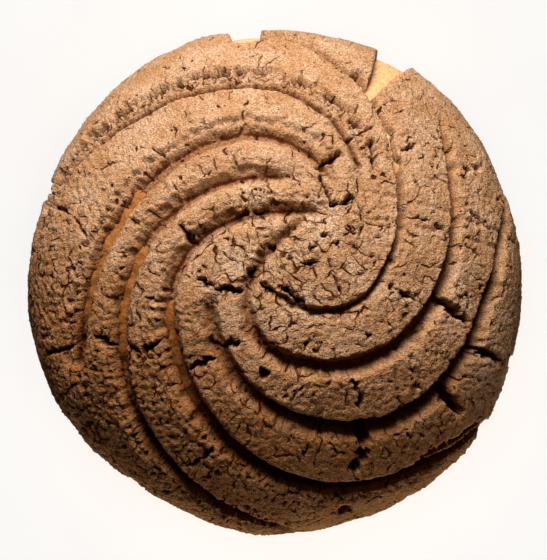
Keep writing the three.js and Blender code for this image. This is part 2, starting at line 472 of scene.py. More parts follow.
@dataclass(frozen=True)
class Groove:
    """One pressed groove: a cubic curve in plan that runs on straight down the side.

    The floor's half width, how far the outer wall crumbled and the share of the full depth are given at its
    start, middle and end. It deepens over its rise, and fades between two distances past the curve's end.
    Bare stretches, from one share of the curve's length to another and with a half width, are pressed right
    through to the bread. The outer wall may have a ledge, a seam at its base and undercut pits along the
    ledge.
    """

    start: Plan
    leave: Plan
    arrive: Plan
    end: Plan
    floor: Triple
    rise: float
    inner: Wall
    outer: Wall
    run_out: float = 26.0
    fade: Span = (13.0, 26.0)
    bare: tuple[Triple, ...] = ()
    step: float = 0.7
    seen_depth: float = 2.7
    crumble: Triple = (0.0, 0.0, 0.0)
    ledge: float = 0.0
    ledge_drop: float = 0.3
    depth: Triple = (1.0, 1.0, 1.0)
    seam: float = 0.0
    undercut: float = 0.0
    rise_before: float = 0.35
    seam_inset: float = 0.1
    seam_edge: Span = (0.25, 0.75)
    undercut_inset: float = 0.6
    undercut_edge: Span = (0.35, 0.95)
    chip_reach: float = 1.5
    strip_core: float = 0.2
    strip_end: float = 0.03
    strip_skirt: Span = (0.8, 2.2)

    def line(self, dome: Dome) -> tuple[Array, float]:
        """Course of the groove.

        Args:
            dome: Form that it is pressed into.

        Returns:
            Evenly spaced points of the flat-laid form, and the length of the curve without its run-out.
        """
        t = np.linspace(0, 1, 240)[:, None]
        corners = [np.array(p) for p in (self.start, self.leave, self.arrive, self.end)]
        plan = sum(math.comb(3, i) * t ** i * (1 - t) ** (3 - i) * corners[i] for i in range(4))
        flat = dome.lay_flat(plan, self.seen_depth)
        length = float(np.hypot(*np.diff(flat, axis=0).T).sum())
        onward = flat[-1] - flat[-6]
        onward /= np.hypot(*onward)
        flat = np.vstack([flat, flat[-1] + onward * self.run_out])
        along = np.concatenate([[0], np.cumsum(np.hypot(*np.diff(flat, axis=0).T))])
        even = np.arange(0, along[-1], self.step)
        return np.stack([np.interp(even, along, flat[:, i]) for i in (0, 1)], axis=1), length

    def beside(self, flat: Array, dome: Dome) -> tuple[Array, Array, Array, float]:
        """Places points beside the groove.

        Args:
            flat: Points, one a row.
            dome: Form that it is pressed into.

        Returns:
            Distance across, more than 0 on the outer side; plain distance; way along; the curve's length.
        """
        line, length = self.line(dome)
        ahead = np.gradient(line, axis=0)
        ahead /= np.hypot(*ahead.T)[:, None]
        nearest = np.concatenate([
            ((part[:, None, :] - line[None]) ** 2).sum(axis=2).argmin(axis=1)
            for part in np.array_split(flat, max(1, len(flat) // BATCH))
        ])
        gap = flat - line[nearest]
        way = ahead[nearest]
        across = way[:, 1] * gap[:, 0] - way[:, 0] * gap[:, 1]
        at_end = (nearest == 0) | (nearest == len(line) - 1)
        distance = np.where(at_end, np.hypot(*gap.T), np.abs(across))
        return across, distance, nearest * self.step, length

    def press(self, flat: Array, dome: Dome, chips: Any = 0.0) -> Imprint:
        """Presses the groove into points of the flat-laid form.

        Args:
            flat: Points, one a row.
            dome: Form that it is pressed into.
            chips: How far the outer arris is broken back at each point, in millimetres.

        Returns:
            What it leaves at each.
        """
        across, distance, along, length = self.beside(flat, dome)
        share = along / length
        floor = taper(share, self.floor)
        outside = across > 0
        broken = self.chip_reach * chips
        beyond = np.maximum(distance - floor, 0)
        walls = np.where(outside, self.outer.share(share, beyond - chips), self.inner.share(share, beyond))
        deep = ease(-self.rise_before * self.rise, self.rise, along)
        deep *= 1 - ease(length + self.fade[0], length + self.fade[1], along)
        step = self.ledge_drop * outside * (1 - ease(self.ledge - 0.3, self.ledge + 0.15, distance - broken))
        pressed = np.maximum(walls, step) * deep * taper(share, self.depth)
        # Fat stain and painted crease shade: over the whole outer wall, and on the inner wall only near the
        # floor.
        stained = np.where(outside, walls, walls ** 4) * deep
        seam = self.seam * deep * (1 - ease(*self.seam_edge, np.abs(across - floor - self.seam_inset)))
        from_pits = np.abs(across - self.ledge + self.undercut_inset - broken)
        undercut = self.undercut * deep * (1 - ease(*self.undercut_edge, from_pits))
        bare = np.zeros(len(flat))
        risen = np.zeros(len(flat))
        near, far = self.strip_skirt
        for first, last, half in self.bare:
            within = ease(first, first + self.strip_end, share)
            within *= 1 - ease(last - self.strip_end, last, share)
            bare = np.maximum(bare, within * (1 - ease(self.strip_core * half, half, distance)))
            risen = np.maximum(risen, within * (1 - ease(half + near, half + far, distance)))
        wall = ease(0.2, 0.8, across) * (1 - ease(self.ledge - 0.3, self.ledge + 0.4, across))
        level = 1 - 3 * walls * (1 - walls)
        crumbly = taper(share, self.crumble) * wall * deep * level
        return Imprint(pressed, stained, bare, risen, crumbly, seam, undercut)


@dataclass(frozen=True)
class Break:
    """A crack where the topping snapped in the oven: its ends in plan, gap and depth against a groove's."""

    start: Plan
    end: Plan
    gap: float
    depth: float = 1.0
    half_share: float = 0.4

    def open(self, flat: Array, dome: Dome) -> tuple[Array, Array]:
        """Opens the crack.

        Args:
            flat: Points of the flat-laid form.
            dome: Form that carries the topping.

        Returns:
            Distance from the crack, with a sign that changes across it, and half of its opening there.
        """
        first, last = dome.lay_flat(np.array([self.start, self.end]))
        way = last - first
        away = flat - first
        share = np.clip((away @ way) / (way @ way), 0, 1)
        side = np.sign(away @ np.array([-way[1], way[0]]))
        distance = np.hypot(*(away - share[:, None] * way).T)
        half = self.half_share * self.gap * np.sqrt(np.maximum(1 - (2 * share - 1) ** 2, 0))
        return distance * side, half


@dataclass(frozen=True)
class Pit:
    """A burst bubble in the topping: its middle in plan and its radius, with its lip in shares of that."""

    middle: Plan
    radius: float
    lip: Span = (0.65, 1.05)
    depth: float = 0.95

    def open(self, flat: Array, dome: Dome) -> Array:
        """Share of a groove's depth at points of the flat-laid form."""
        distance = np.hypot(*(flat - dome.lay_flat(np.array([self.middle]))[0]).T)
        return self.depth * (1 - ease(self.lip[0] * self.radius, self.lip[1] * self.radius, distance))


@dataclass(frozen=True)
class Spill:
    """Crumbs that fell back into a groove: their middle in plan, their reach and how far they fill it."""

    middle: Plan
    reach: float
    fill: float
    slope: Span = (0.55, 1.15)

    def heap(self, flat: Array, dome: Dome) -> Array:
        """Share of the crumbs at points of the flat-laid form."""
        distance = np.hypot(*(flat - dome.lay_flat(np.array([self.middle]))[0]).T)
        return 1 - ease(self.slope[0] * self.reach, self.slope[1] * self.reach, distance)


@dataclass(frozen=True)
class Notch:
    """A place where the rim broke away: bearing, width and tilt of its tip, widening, soft edge and depth."""

    bearing: float
    tip: float
    tilt: float
    widen: float
    edge: float = 0.65
    depth: float = 1.0
    tip_edge: float = 0.6

    def open(self, flat: Array, dome: Dome) -> Array:
        """Bares the bread.

        Args:
            flat: Points of the flat-laid form.
            dome: Form that carries the topping.

        Returns:
            How far the bread is bared at each point, from 0 to 1.
        """
        turn = math.radians(self.bearing)
        out = np.array([math.cos(turn), math.sin(turn)])
        along = flat @ out - float(dome.arc_of(math.radians(self.tilt)))
        across = np.abs(flat @ np.array([-out[1], out[0]]))
        half = 0.5 * self.tip + np.maximum(along, 0) * self.widen
        sides = 1 - ease(half - self.edge, half + self.edge, across)
        return self.depth * sides * ease(-self.tip_edge, self.tip_edge, along)


GROOVES = (
    Groove((-3.3, -3.3), (30.9, -31.4), (41.6, 44.7), (-2.1, 51.6), (0.15, 0.35, 0.65), 13,
           Wall((0.7, 0.7, 0.6)), Wall((1.1, 0.8, 0.6), 0.4), bare=((0.5, 0.76, 1.05),),
           crumble=(0.0, 0.0, 0.9), ledge=2.6, ledge_drop=0.2, depth=(0.7, 0.95, 0.9)),
    Groove((8.4, 11.2), (-41.5, -26.7), (61.5, -46.0), (33.2, 40.8), (0.3, 0.7, 0.15), 6,
           Wall((1.2, 1.4, 0.5)), Wall((1.6, 2.1, 0.4), 0.4), fade=(-20.0, -10.0),
           crumble=(0.2, 0.1, 0.2), ledge=2.0, ledge_drop=0.0, depth=(0.65, 1.0, 0.7), seam=0.6),
    Groove((-12.6, -5.5), (-18.5, -32.5), (40.0, -58.5), (49.5, 12.8), (0.4, 0.9, 0.5), 5,
           Wall((1.6, 1.4, 1.1)), Wall((2.0, 2.1, 1.1), 0.4),
           crumble=(0.2, 0.2, 0.7), ledge=2.6, ledge_drop=0.1, depth=(0.8, 1.0, 0.9)),
    Groove((12.4, 10.8), (-55.5, 20.4), (-10.7, -82.6), (43.7, -30.1), (0.25, 0.9, 0.5), 8,
           Wall((2.4, 1.6, 1.0), 0.4), Wall((2.2, 2.0, 0.8)), fade=(2.0, 12.0), bare=((0.28, 0.48, 0.85),),
           crumble=(0.3, 0.5, 0.9), ledge=3.4, ledge_drop=0.15, depth=(0.88, 0.92, 0.6), seam=1.0),
    Groove((5.7, 18.2), (-40.0, 26.6), (-48.5, -43.5), (0.4, -52.3), (0.25, 0.75, 0.5), 7,
           Wall((2.5, 1.9, 1.2), 0.5), Wall((2.2, 2.0, 0.9)), fade=(0.0, 7.0), bare=((0.3, 0.56, 0.75),),
           crumble=(0.3, 0.6, 0.8), ledge=3.4, ledge_drop=0.15, depth=(0.88, 0.9, 1.0), seam=1.0),
    Groove((13.6, 15.2), (3.9, 42.1), (-39.6, 26.0), (-41.4, -16.5), (0.1, 1.0, 0.8), 12,
           Wall((2.2, 2.2, 1.6), 0.6), Wall((2.2, 2.2, 0.9)), run_out=6.0, fade=(3.0, 6.0),
           bare=((0.55, 0.95, 0.95),), crumble=(0.4, 0.8, 0.7), ledge=3.6, ledge_drop=0.4,
           depth=(0.85, 0.85, 0.85), seam=1.0, undercut=0.45),
    Groove((18.9, 17.2), (11.2, 57.5), (-39.7, 34.4), (-46.1, 18.9), (0.15, 0.25, 0.4), 8,
           Wall((1.6, 1.6, 1.4), 0.5), Wall((1.1, 1.1, 1.0)), crumble=(0.7, 1.0, 1.0), ledge=4.4,
           ledge_drop=0.55, depth=(0.72, 0.72, 0.72), seam=0.9, undercut=1.15),
)

BREAKS = (
    Break((9.5, 21.2), (14.1, 25.2), 1.7),
    Break((12.5, 12.8), (17.9, 15.3), 1.5),
    Break((9.8, 20.3), (12.7, 12.8), 0.7, 0.6),
    Break((18.3, 19.7), (17.9, 15.0), 0.5, 0.6),
    Break((18.1, 14.5), (19.6, 8.8), 0.5, 0.6),
    Break((19.6, 8.8), (18.5, 6.2), 0.6, 0.7),
    Break((18.7, 26.6), (20.9, 27.4), 0.5, 0.7),
    Break((20.0, 24.1), (23.5, 25.2), 0.5, 0.7),
    Break((-20.5, 9.2), (-17.0, 4.6), 1.0),
    Break((-16.9, -2.7), (-12.4, -5.0), 1.0),
    Break((-12.4, -5.0), (-6.4, -5.2), 1.3),
    Break((-4.4, 0.5), (-5.4, -4.4), 1.0),
    Break((-3.4, -4.0), (0.6, -5.9), 0.8, 0.9),
    Break((2.1, -4.6), (6.0, -8.7), 1.1),
    Break((-14.1, -16.0), (-11.4, -17.7), 1.3),
    Break((-11.4, -17.7), (-7.0, -16.2), 1.2),
    Break((-18.5, -22.3), (-12.7, -19.8), 1.0),
    Break((-31.6, -17.0), (-28.5, -18.3), 0.9),
    Break((-28.5, -18.3), (-24.2, -15.4), 0.9),
    Break((-39.4, -14.0), (-32.7, -17.2), 1.5),
    Break((-50.7, -17.3), (-43.5, -15.6), 0.9),
    Break((-44.0, -16.0), (-41.2, -11.2), 1.4),
    Break((19.5, -32.6), (19.5, -38.1), 3.6),
    Break((19.5, -38.1), (17.9, -43.3), 3.0),
    Break((35.4, -5.8), (42.8, -11.2), 2.0),
    Break((43.8, -16.2), (50.2, -18.6), 2.4),
    Break((-50.0, 16.8), (-44.2, 12.6), 0.7, 0.7),
    Break((-44.2, 12.6), (-40.2, 7.0), 0.6, 0.7),
    Break((35.5, -24.0), (40.7, -30.4), 3.4),
    Break((30.5, -41.6), (37.5, -36.1), 1.3, 0.9),
    Break((37.5, -36.1), (45.1, -31.0), 1.1, 0.9),
    Break((16.7, -24.0), (18.3, -26.6), 0.8),
    Break((18.3, -26.6), (18.8, -30.8), 0.8),
    Break((6.2, -40.7), (7.6, -37.0), 0.6, 0.8),
    Break((-19.2, -42.7), (-12.8, -38.6), 1.1),
    Break((-41.9, -32.4), (-39.4, -33.5), 0.8, 0.8),
    Break((-39.4, -33.5), (-39.1, -36.4), 0.7, 0.8),
    Break((14.4, 28.1), (17.4, 29.1), 0.75, 0.9),
    Break((17.4, 29.1), (21.6, 31.3), 0.6, 0.7),
    Break((25.4, -4.0), (31.7, -7.4), 0.55, 0.8),
    Break((27.9, 26.1), (30.7, 27.8), 0.9, 0.8),
    Break((41.4, 23.6), (43.6, 23.2), 0.6, 0.8),
    Break((42.8, 13.9), (47.0, 10.7), 0.8, 0.8),
    Break((28.7, 11.3), (33.9, 10.5), 0.55, 0.6),
    Break((34.3, 9.9), (37.3, 8.5), 0.8, 0.8),
    Break((15.5, 7.8), (18.7, 7.0), 0.7, 0.8),
    Break((19.7, 9.6), (24.6, 8.5), 0.5, 0.6),
    Break((36.6, 5.0), (41.3, 6.0), 0.45, 0.6),
    Break((41.3, 6.0), (45.0, 3.8), 0.45, 0.6),
    Break((7.0, 1.7), (9.5, 4.4), 0.45, 0.6),
    Break((5.7, 0.1), (10.2, 0.6), 0.6, 0.7),
    Break((11.0, 1.6), (12.4, -0.9), 0.5, 0.6),
    Break((12.4, -0.9), (15.3, -7.4), 0.45, 0.6),
    Break((12.3, 4.4), (14.6, 5.2), 0.5, 0.6),
    Break((14.6, 5.2), (20.7, 2.0), 0.45, 0.6),
    Break((-11.3, 2.6), (-7.1, 0.0), 0.55, 0.8),
    Break((6.5, -25.2), (3.8, -28.7), 0.5, 0.7),
    Break((21.7, -11.3), (23.7, -12.3), 0.4, 0.5),
    Break((24.1, -11.5), (25.8, -13.5), 0.4, 0.5),
    Break((7.5, -15.8), (6.2, -19.2), 0.45, 0.6),
    Break((10.3, -16.2), (9.2, -18.8), 0.45, 0.6),
    Break((-28.2, -5.9), (-24.1, -7.7), 0.5, 0.7),
    Break((-22.4, 18.7), (-20.2, 16.2), 0.5, 0.7),
    Break((-13.2, 24.2), (-12.1, 20.7), 0.4, 0.6),
    Break((-0.4, 23.8), (-2.6, 18.8), 0.4, 0.6),
    Break((-27.1, 12.9), (-24.5, 11.0), 0.6, 0.7),
    Break((-32.0, 11.4), (-29.1, 9.0), 0.6, 0.7),
    Break((-26.6, 26.8), (-23.8, 24.8), 0.8, 0.8),
)

PITS = (
    Pit((-2.1, -22.8), 1.3),
    Pit((15.6, -50.9), 2.0),
    Pit((18.1, 44.2), 1.4),
    Pit((20.9, 47.2), 0.9),
    Pit((23.6, 32.5), 0.6),
    Pit((36.9, 30.1), 0.7),
    Pit((10.5, 6.2), 0.7),
    Pit((25.6, -4.4), 0.7),
    Pit((42.3, 20.9), 1.1),
    Pit((44.8, 23.6), 1.1),
    Pit((37.8, 27.1), 0.8),
    Pit((27.2, -17.9), 0.5),
    Pit((0.0, 4.2), 1.0),
    Pit((-18.0, 6.4), 0.9),
)

SPILLS = (
    Spill((-5.9, 12.6), 3.2, 0.75),
    Spill((-3.2, 15.4), 2.0, 0.7),
    Spill((1.2, -5.2), 0.9, 0.8),
)

NOTCHES = (
    Notch(96.5, 6.2, 56, 0.1),
    Notch(61.5, 2.6, 40, 0.17),
    Notch(158.5, 4.2, 70, 0.12),
    Notch(236, 3.0, 80, 0.35),
    Notch(341, 1.8, 74, 0.15),
    Notch(325, 2.4, 74, 0.2, 1.2, 0.25),
)


def add(tree: bpy.types.NodeTree, kind: Node, feeds: Feeds, **settings: Any) -> bpy.types.Node:
    """Adds a node with its settings, and links or sets its inputs.

    Args:
        tree: Node tree that takes it.
        kind: Kind of the node.
        feeds: What its inputs take, in their order or under their names or numbers: a socket, a node, whose
            first output is linked, or a value.
        settings: Properties of the node.

    Returns:
        The new node.
    """
    made = tree.nodes.new(kind.value)
    for name, value in settings.items():
        setattr(made, name, value)
    for name, value in feeds.items() if isinstance(feeds, dict) else enumerate(feeds):
        if isinstance(value, bpy.types.Node):
            value = value.outputs[0]
        if isinstance(value, bpy.types.NodeSocket):
            tree.links.new(value, made.inputs[name])
        else:
            made.inputs[name].default_value = value
    return made


def lay_coats(tree: bpy.types.NodeTree, ground: str, coats: tuple[tuple[Any, Any, Blend], ...]) -> Any:
    """Lays coats of colour over one another.

    Args:
        tree: Node tree that takes the nodes.
        ground: Colour under all of them.
        coats: For each the share that it covers, its colour or the socket of one, and how it blends.

    Returns:
        Socket of the colour.
    """
    colour: Any = linear(ground)
    for share, coat, blend in coats:
        over = linear(coat) if isinstance(coat, str) else coat
        feeds = {0: share, 6: colour, 7: over}
        colour = add(tree, Node.MIX, feeds, data_type="RGBA", blend_type=blend.value).outputs[2]
    return colour


def blank_material(name: str) -> tuple[bpy.types.Material, bpy.types.NodeTree]:
    """Makes an empty node material.

    Args:
        name: Name of the material.

    Returns:
        The material and its cleared node tree.
    """
    material = bpy.data.materials.new(name)
    material.use_nodes = True
    material.node_tree.nodes.clear()
    return material, material.node_tree


@dataclass(frozen=True)
class CocoaSugarPaste:
    """Baked sugar, fat and flour paste with cocoa, rolled thin, pressed and dried in the oven.

    It is matte and sandy. The tops are greyed by dry sugar. The pressed walls are darker and redder, partly
    fat stain and partly painted shade, and the groove floors carry painted crease shade. Cracks, splits, pits
    and pores are filled with painted shade, and so are the hollows between grains. It is darker towards the
    rim, and painted shade darkens the side away from the key lamp.
    """

    top: str = "#C19871"
    bloom: str = "#D3B294"
    # Groove walls: fat stain darkened with painted shade.
    wall: str = "#9B6E45"
    # Groove floors: fat stain darkened with painted crease shade.
    floor: str = "#6C3813"
    dark_grain: str = "#CBB8A4"
    # Tint of the rim darkening and of the painted shade on the side away from the key lamp.
    rim_dark_and_shade_tint: str = "#D2B899"
    # Painted shade for the hollows between grains and beside cracks.
    hollow: str = "#6C3B19"
    # Painted shade inside cracks, splits, pits and pores, which the mesh is too coarse to shadow.
    crack: str = "#4A210A"
    roughness: float = 0.92
    ior: float = 1.46
    specular: float = 0.04
    grain_mm: float = 0.45
    bloom_mm: float = 7.0
    speck_mm: float = 0.36
    pore_mm: float = 1.3
    pore_radius_mm: float = 0.32
    bump_mm: float = 0.62
    crack_depth: float = 0.9
    core_share: float = 0.25
    lip_mm: float = 0.1
    hollow_shade_share: float = 0.5
    dark_gape: Ramp = (0.02, 0.2)
    pit_lip: Ramp = (-0.12, 0.08, 1.0, 0.0)
    pore_chance: Span = (0.55, 1.0)
    dry_cloud: Ramp = (0.36, 0.68)
    wall_stain_and_shade: Ramp = (0.1, 0.6, 0.0, 0.45)
    floor_stain: Ramp = (0.5, 1.0, 0.0, 0.4)
    fleck_dots: Ramp = (0.6, 0.4)
    between_grains_shade: Ramp = (0.5, 0.3, 0.0, 0.4)
    split_shade_ramp: Ramp = (0.25, 0.9)

    def crack_lines(self, tree: bpy.types.NodeTree, distance: Any, gape: Any) -> bpy.types.Node:
        """Draws the painted shade in the cracks of one network, the narrower the paler.

        Args:
            tree: Node tree that takes the nodes.
            distance: Socket of the signed distance from the crack.
            gape: Socket of half of its opening.

        Returns:
            Node whose value is up to 1 in a crack and 0 beside it.
        """
        away = add(tree, Node.MATH, (distance,), operation="ABSOLUTE")
        core = add(tree, Node.MATH, (gape, self.core_share), operation="MULTIPLY")
        lip = add(tree, Node.MATH, (gape, self.lip_mm), operation="ADD")
        line = add(tree, Node.RANGE, (away, core, lip, 1.0, 0.0), interpolation_type="SMOOTHSTEP")
        dark = add(tree, Node.RANGE, (gape, *self.dark_gape))
        return add(tree, Node.MATH, (line, dark), operation="MULTIPLY")

    def gaps(self, tree: bpy.types.NodeTree, place: Any, marks: dict[Mark, Any]) -> bpy.types.Node:
        """Draws all cracks, pits and pores, for the bump and for the painted shade in them.

        Args:
            tree: Node tree that takes the nodes.
            place: Socket of the place on the piece.
            marks: Sockets of the marks.

        Returns:
            Node whose value is up to 1 in a gap and 0 beside it.
        """
        bubbles = add(tree, Node.CELLS, {"Vector": place, "Scale": 1 / (self.pore_mm * MM)})
        chance = add(tree, Node.CHANNELS, (bubbles.outputs["Color"],))
        widest = self.pore_radius_mm / self.pore_mm
        radius = add(tree, Node.RANGE, (chance, *self.pore_chance, 0.0, widest))
        gaps = [self.crack_lines(tree, marks[line], marks[gape]) for line, gape in LINES]
        gaps.append(add(tree, Node.RANGE, (marks[Mark.PIT], *self.pit_lip), interpolation_type="SMOOTHSTEP"))
        gaps.append(add(tree, Node.RANGE, (bubbles.outputs["Distance"], 0.0, radius, 1.0, 0.0)))
        return reduce(lambda one, other: add(tree, Node.MATH, (one, other), operation="MAXIMUM"), gaps)

    def material(self) -> bpy.types.Material:
        """Builds the finish.

        Returns:
            The material.
        """
        material, tree = blank_material("cocoa_sugar_paste_pressed_and_baked")
        place = add(tree, Node.PLACE, ()).outputs["Object"]
        marks = {m: add(tree, Node.MARK, (), attribute_name=m.value).outputs["Fac"] for m in Mark}
        noises = ((self.bloom_mm, 4.0, 0.6), (self.speck_mm, 2.0, 0.7), (self.grain_mm, 3.0, 0.6))
        cloud, dots, grain = (
            add(tree, Node.NOISE, {
                "Vector": place, "Scale": 1 / (size * MM), "Detail": detail, "Roughness": rough})
            for size, detail, rough in noises)
        dry = add(tree, Node.RANGE, (cloud, *self.dry_cloud), interpolation_type="SMOOTHSTEP")
        # Fat stain with painted shade on the walls, and painted crease shade on the groove floors.
        slope = add(tree, Node.RANGE, (marks[Mark.STAIN_AND_SHADE], *self.wall_stain_and_shade))
        deep = add(tree, Node.RANGE, (marks[Mark.STAIN_AND_SHADE], *self.floor_stain),
                   interpolation_type="SMOOTHSTEP")
        fleck = add(tree, Node.RANGE, (dots, *self.fleck_dots))
        # Painted shade where the grain's bump is lowest, and in the marked hollows.
        between = add(tree, Node.RANGE, (grain, *self.between_grains_shade))
        painted_hollow_shade = add(tree, Node.MATH, (marks[Mark.HOLLOW_SHADE], self.hollow_shade_share, between),
                   operation="MULTIPLY_ADD", use_clamp=True)
        gaps = self.gaps(tree, place, marks)
        # Painted shade in splits and burst pits, joined with the painted shade of cracks and pores.
        torn = add(tree, Node.RANGE, (marks[Mark.SPLIT], *self.split_shade_ramp), interpolation_type="SMOOTHSTEP")
        inside = add(tree, Node.MATH, (gaps, torn), operation="MAXIMUM")
        # Coats: dry bloom; wall stain with painted shade; floor painted crease shade; rim darkening with
        # painted side shade; random dark flecks; painted hollow shade; painted shade in the gaps.
        colour = lay_coats(tree, self.top, (
            (dry, self.bloom, Blend.OVER),
            (slope, self.wall, Blend.OVER),
            (deep, self.floor, Blend.OVER),
            (marks[Mark.RIM_DARK_AND_SHADE], self.rim_dark_and_shade_tint, Blend.STAIN),
            (fleck, self.dark_grain, Blend.STAIN),
            (painted_hollow_shade, self.hollow, Blend.OVER),
            (inside, self.crack, Blend.OVER),
        ))
        rough = add(tree, Node.MATH, (gaps, -self.crack_depth, grain), operation="MULTIPLY_ADD")
        bump = add(tree, Node.BUMP, {"Height": rough, "Distance": self.bump_mm * MM, "Strength": 1.0})
        shader = add(tree, Node.SHADER, {
            "Base Color": colour, "Normal": bump, "Roughness": self.roughness, "IOR": self.ior,
            "Specular IOR Level": self.specular})
        add(tree, Node.OUTPUT, {"Surface": shader})
        return material


@dataclass(frozen=True)
class BakedBread:
    """Enriched yeast dough, proved and baked on a tray: a thin soft crust.

    It is golden where it rose out beside the topping and caramel brown where the topping's fat soaked in,
    with burnt patches and painted shade that darkens the strips towards the front, away from the key lamp. It
    is browner towards the tray, with a faint sheen and fine wrinkles.
    """

    soaked: str = "#8D5627"
    # Brown of the burnt patches, also used as painted shade towards the front.
    burnt_and_shade_brown: str = "#5E3211"
    golden: str = "#C68F57"
    pale: str = "#CB9C6C"
    brown: str = "#9C6432"
    base: str = "#8A5628"
    roughness: float = 0.68
    ior: float = 1.45
    specular: float = 0.12
    blotch_mm: float = 9.0
    pore_mm: float = 0.8
    crumb_mm: float = 1.8
    # Distance over which painted shade darkens the strips towards the front.
    front_shade_mm: float = 70.0
    bump_mm: float = 0.4
    risen_bearing: float = 66.0
    drift_mm: float = 5.0
    under_mm: Span = (1.5, 5.0)
    belly_mm: Span = (5.0, 11.0)
    crown_mm: Span = (22.0, 34.0)
    risen_mm: Span = (18.0, 36.0)
    pale_cloud: Ramp = (0.5, 0.75, 0.0, 0.6)
    burnt_and_shade_ramp: Ramp = (0.38, 0.95)
    pore_shade: Ramp = (0.55, 0.3, 0.0, 0.5)

    def material(self) -> bpy.types.Material:
        """Builds the finish.

        Returns:
            The material.
        """
        material, tree = blank_material("yeast_bread_baked_crust")
        place = add(tree, Node.PLACE, ()).outputs["Object"]
        level = add(tree, Node.AXES, (place,)).outputs["Z"]
        noises = ((self.blotch_mm, 5.0, 0.6), (self.crumb_mm, 3.0, 0.5), (self.pore_mm, 4.0, 0.5))
        cloud, crumbs, pores = (
            add(tree, Node.NOISE, {
                "Vector": place, "Scale": 1 / (size * MM), "Detail": detail, "Roughness": rough})
            for size, detail, rough in noises)
        turn = math.radians(self.risen_bearing)
        ways = ((0.0, -1 / (self.front_shade_mm * MM), 0.0), (math.cos(turn), math.sin(turn), 0.0))
        lower, upper = (
            add(tree, Node.VECTOR, (place, way), operation="DOT_PRODUCT").outputs["Value"] for way in ways)
        drift = add(tree, Node.MATH, (cloud, self.drift_mm * MM, level), operation="MULTIPLY_ADD")
        under, belly, crown, risen = (
            add(tree, Node.RANGE, (reading, low * MM, high * MM), interpolation_type=curve)
            for reading, (low, high), curve in (
                (drift, self.under_mm, "LINEAR"), (drift, self.belly_mm, "SMOOTHSTEP"),
                (level, self.crown_mm, "LINEAR"), (upper, self.risen_mm, "LINEAR")))
        patch = add(tree, Node.RANGE, (cloud, *self.pale_cloud))
        # Burnt patches at random, with painted shade added towards the front, away from the key lamp.
        baked = add(tree, Node.MATH, (crumbs, lower), operation="ADD")
        burnt_and_front_shade = add(tree, Node.RANGE, (baked, *self.burnt_and_shade_ramp))
        strip = lay_coats(tree, self.soaked, ((burnt_and_front_shade, self.burnt_and_shade_brown, Blend.OVER),))
        shade = add(tree, Node.RANGE, (pores, *self.pore_shade))
        colour = lay_coats(tree, self.base, (
            (under, self.brown, Blend.OVER),
            (belly, self.golden, Blend.OVER),
            (patch, self.pale, Blend.OVER),
            (crown, strip, Blend.OVER),
            (risen, self.pale, Blend.OVER),
            (shade, self.base, Blend.OVER),
        ))
        bump = add(tree, Node.BUMP, {"Height": pores, "Distance": self.bump_mm * MM, "Strength": 1.0})
        shader = add(tree, Node.SHADER, {
            "Base Color": colour, "Normal": bump, "Roughness": self.roughness, "IOR": self.ior,
            "Specular IOR Level": self.specular})
        add(tree, Node.OUTPUT, {"Surface": shader})
        return material


@dataclass(frozen=True)
class MattFloor:
    """Painted studio floor: even, pale and matte, with a faint mottle so that it reads as a surface."""

    light: str = "#FBFAF8"
    shade: str = "#F4F2EF"
    mottle_mm: float = 60.0
    roughness: float = 0.95

    def material(self) -> bpy.types.Material:
        """Builds the finish.

        Returns:
            The material.
        """
        material, tree = blank_material("matt_painted_floor")
        place = add(tree, Node.PLACE, ()).outputs["Object"]
        cloud = add(tree, Node.NOISE, {"Vector": place, "Scale": 1 / (self.mottle_mm * MM)})
        colour = lay_coats(tree, self.light, ((cloud, self.shade, Blend.OVER),))
        shader = add(tree, Node.SHADER, {
            "Base Color": colour, "Roughness": self.roughness, "Specular IOR Level": 0.0})
        add(tree, Node.OUTPUT, {"Surface": shader})
        return material


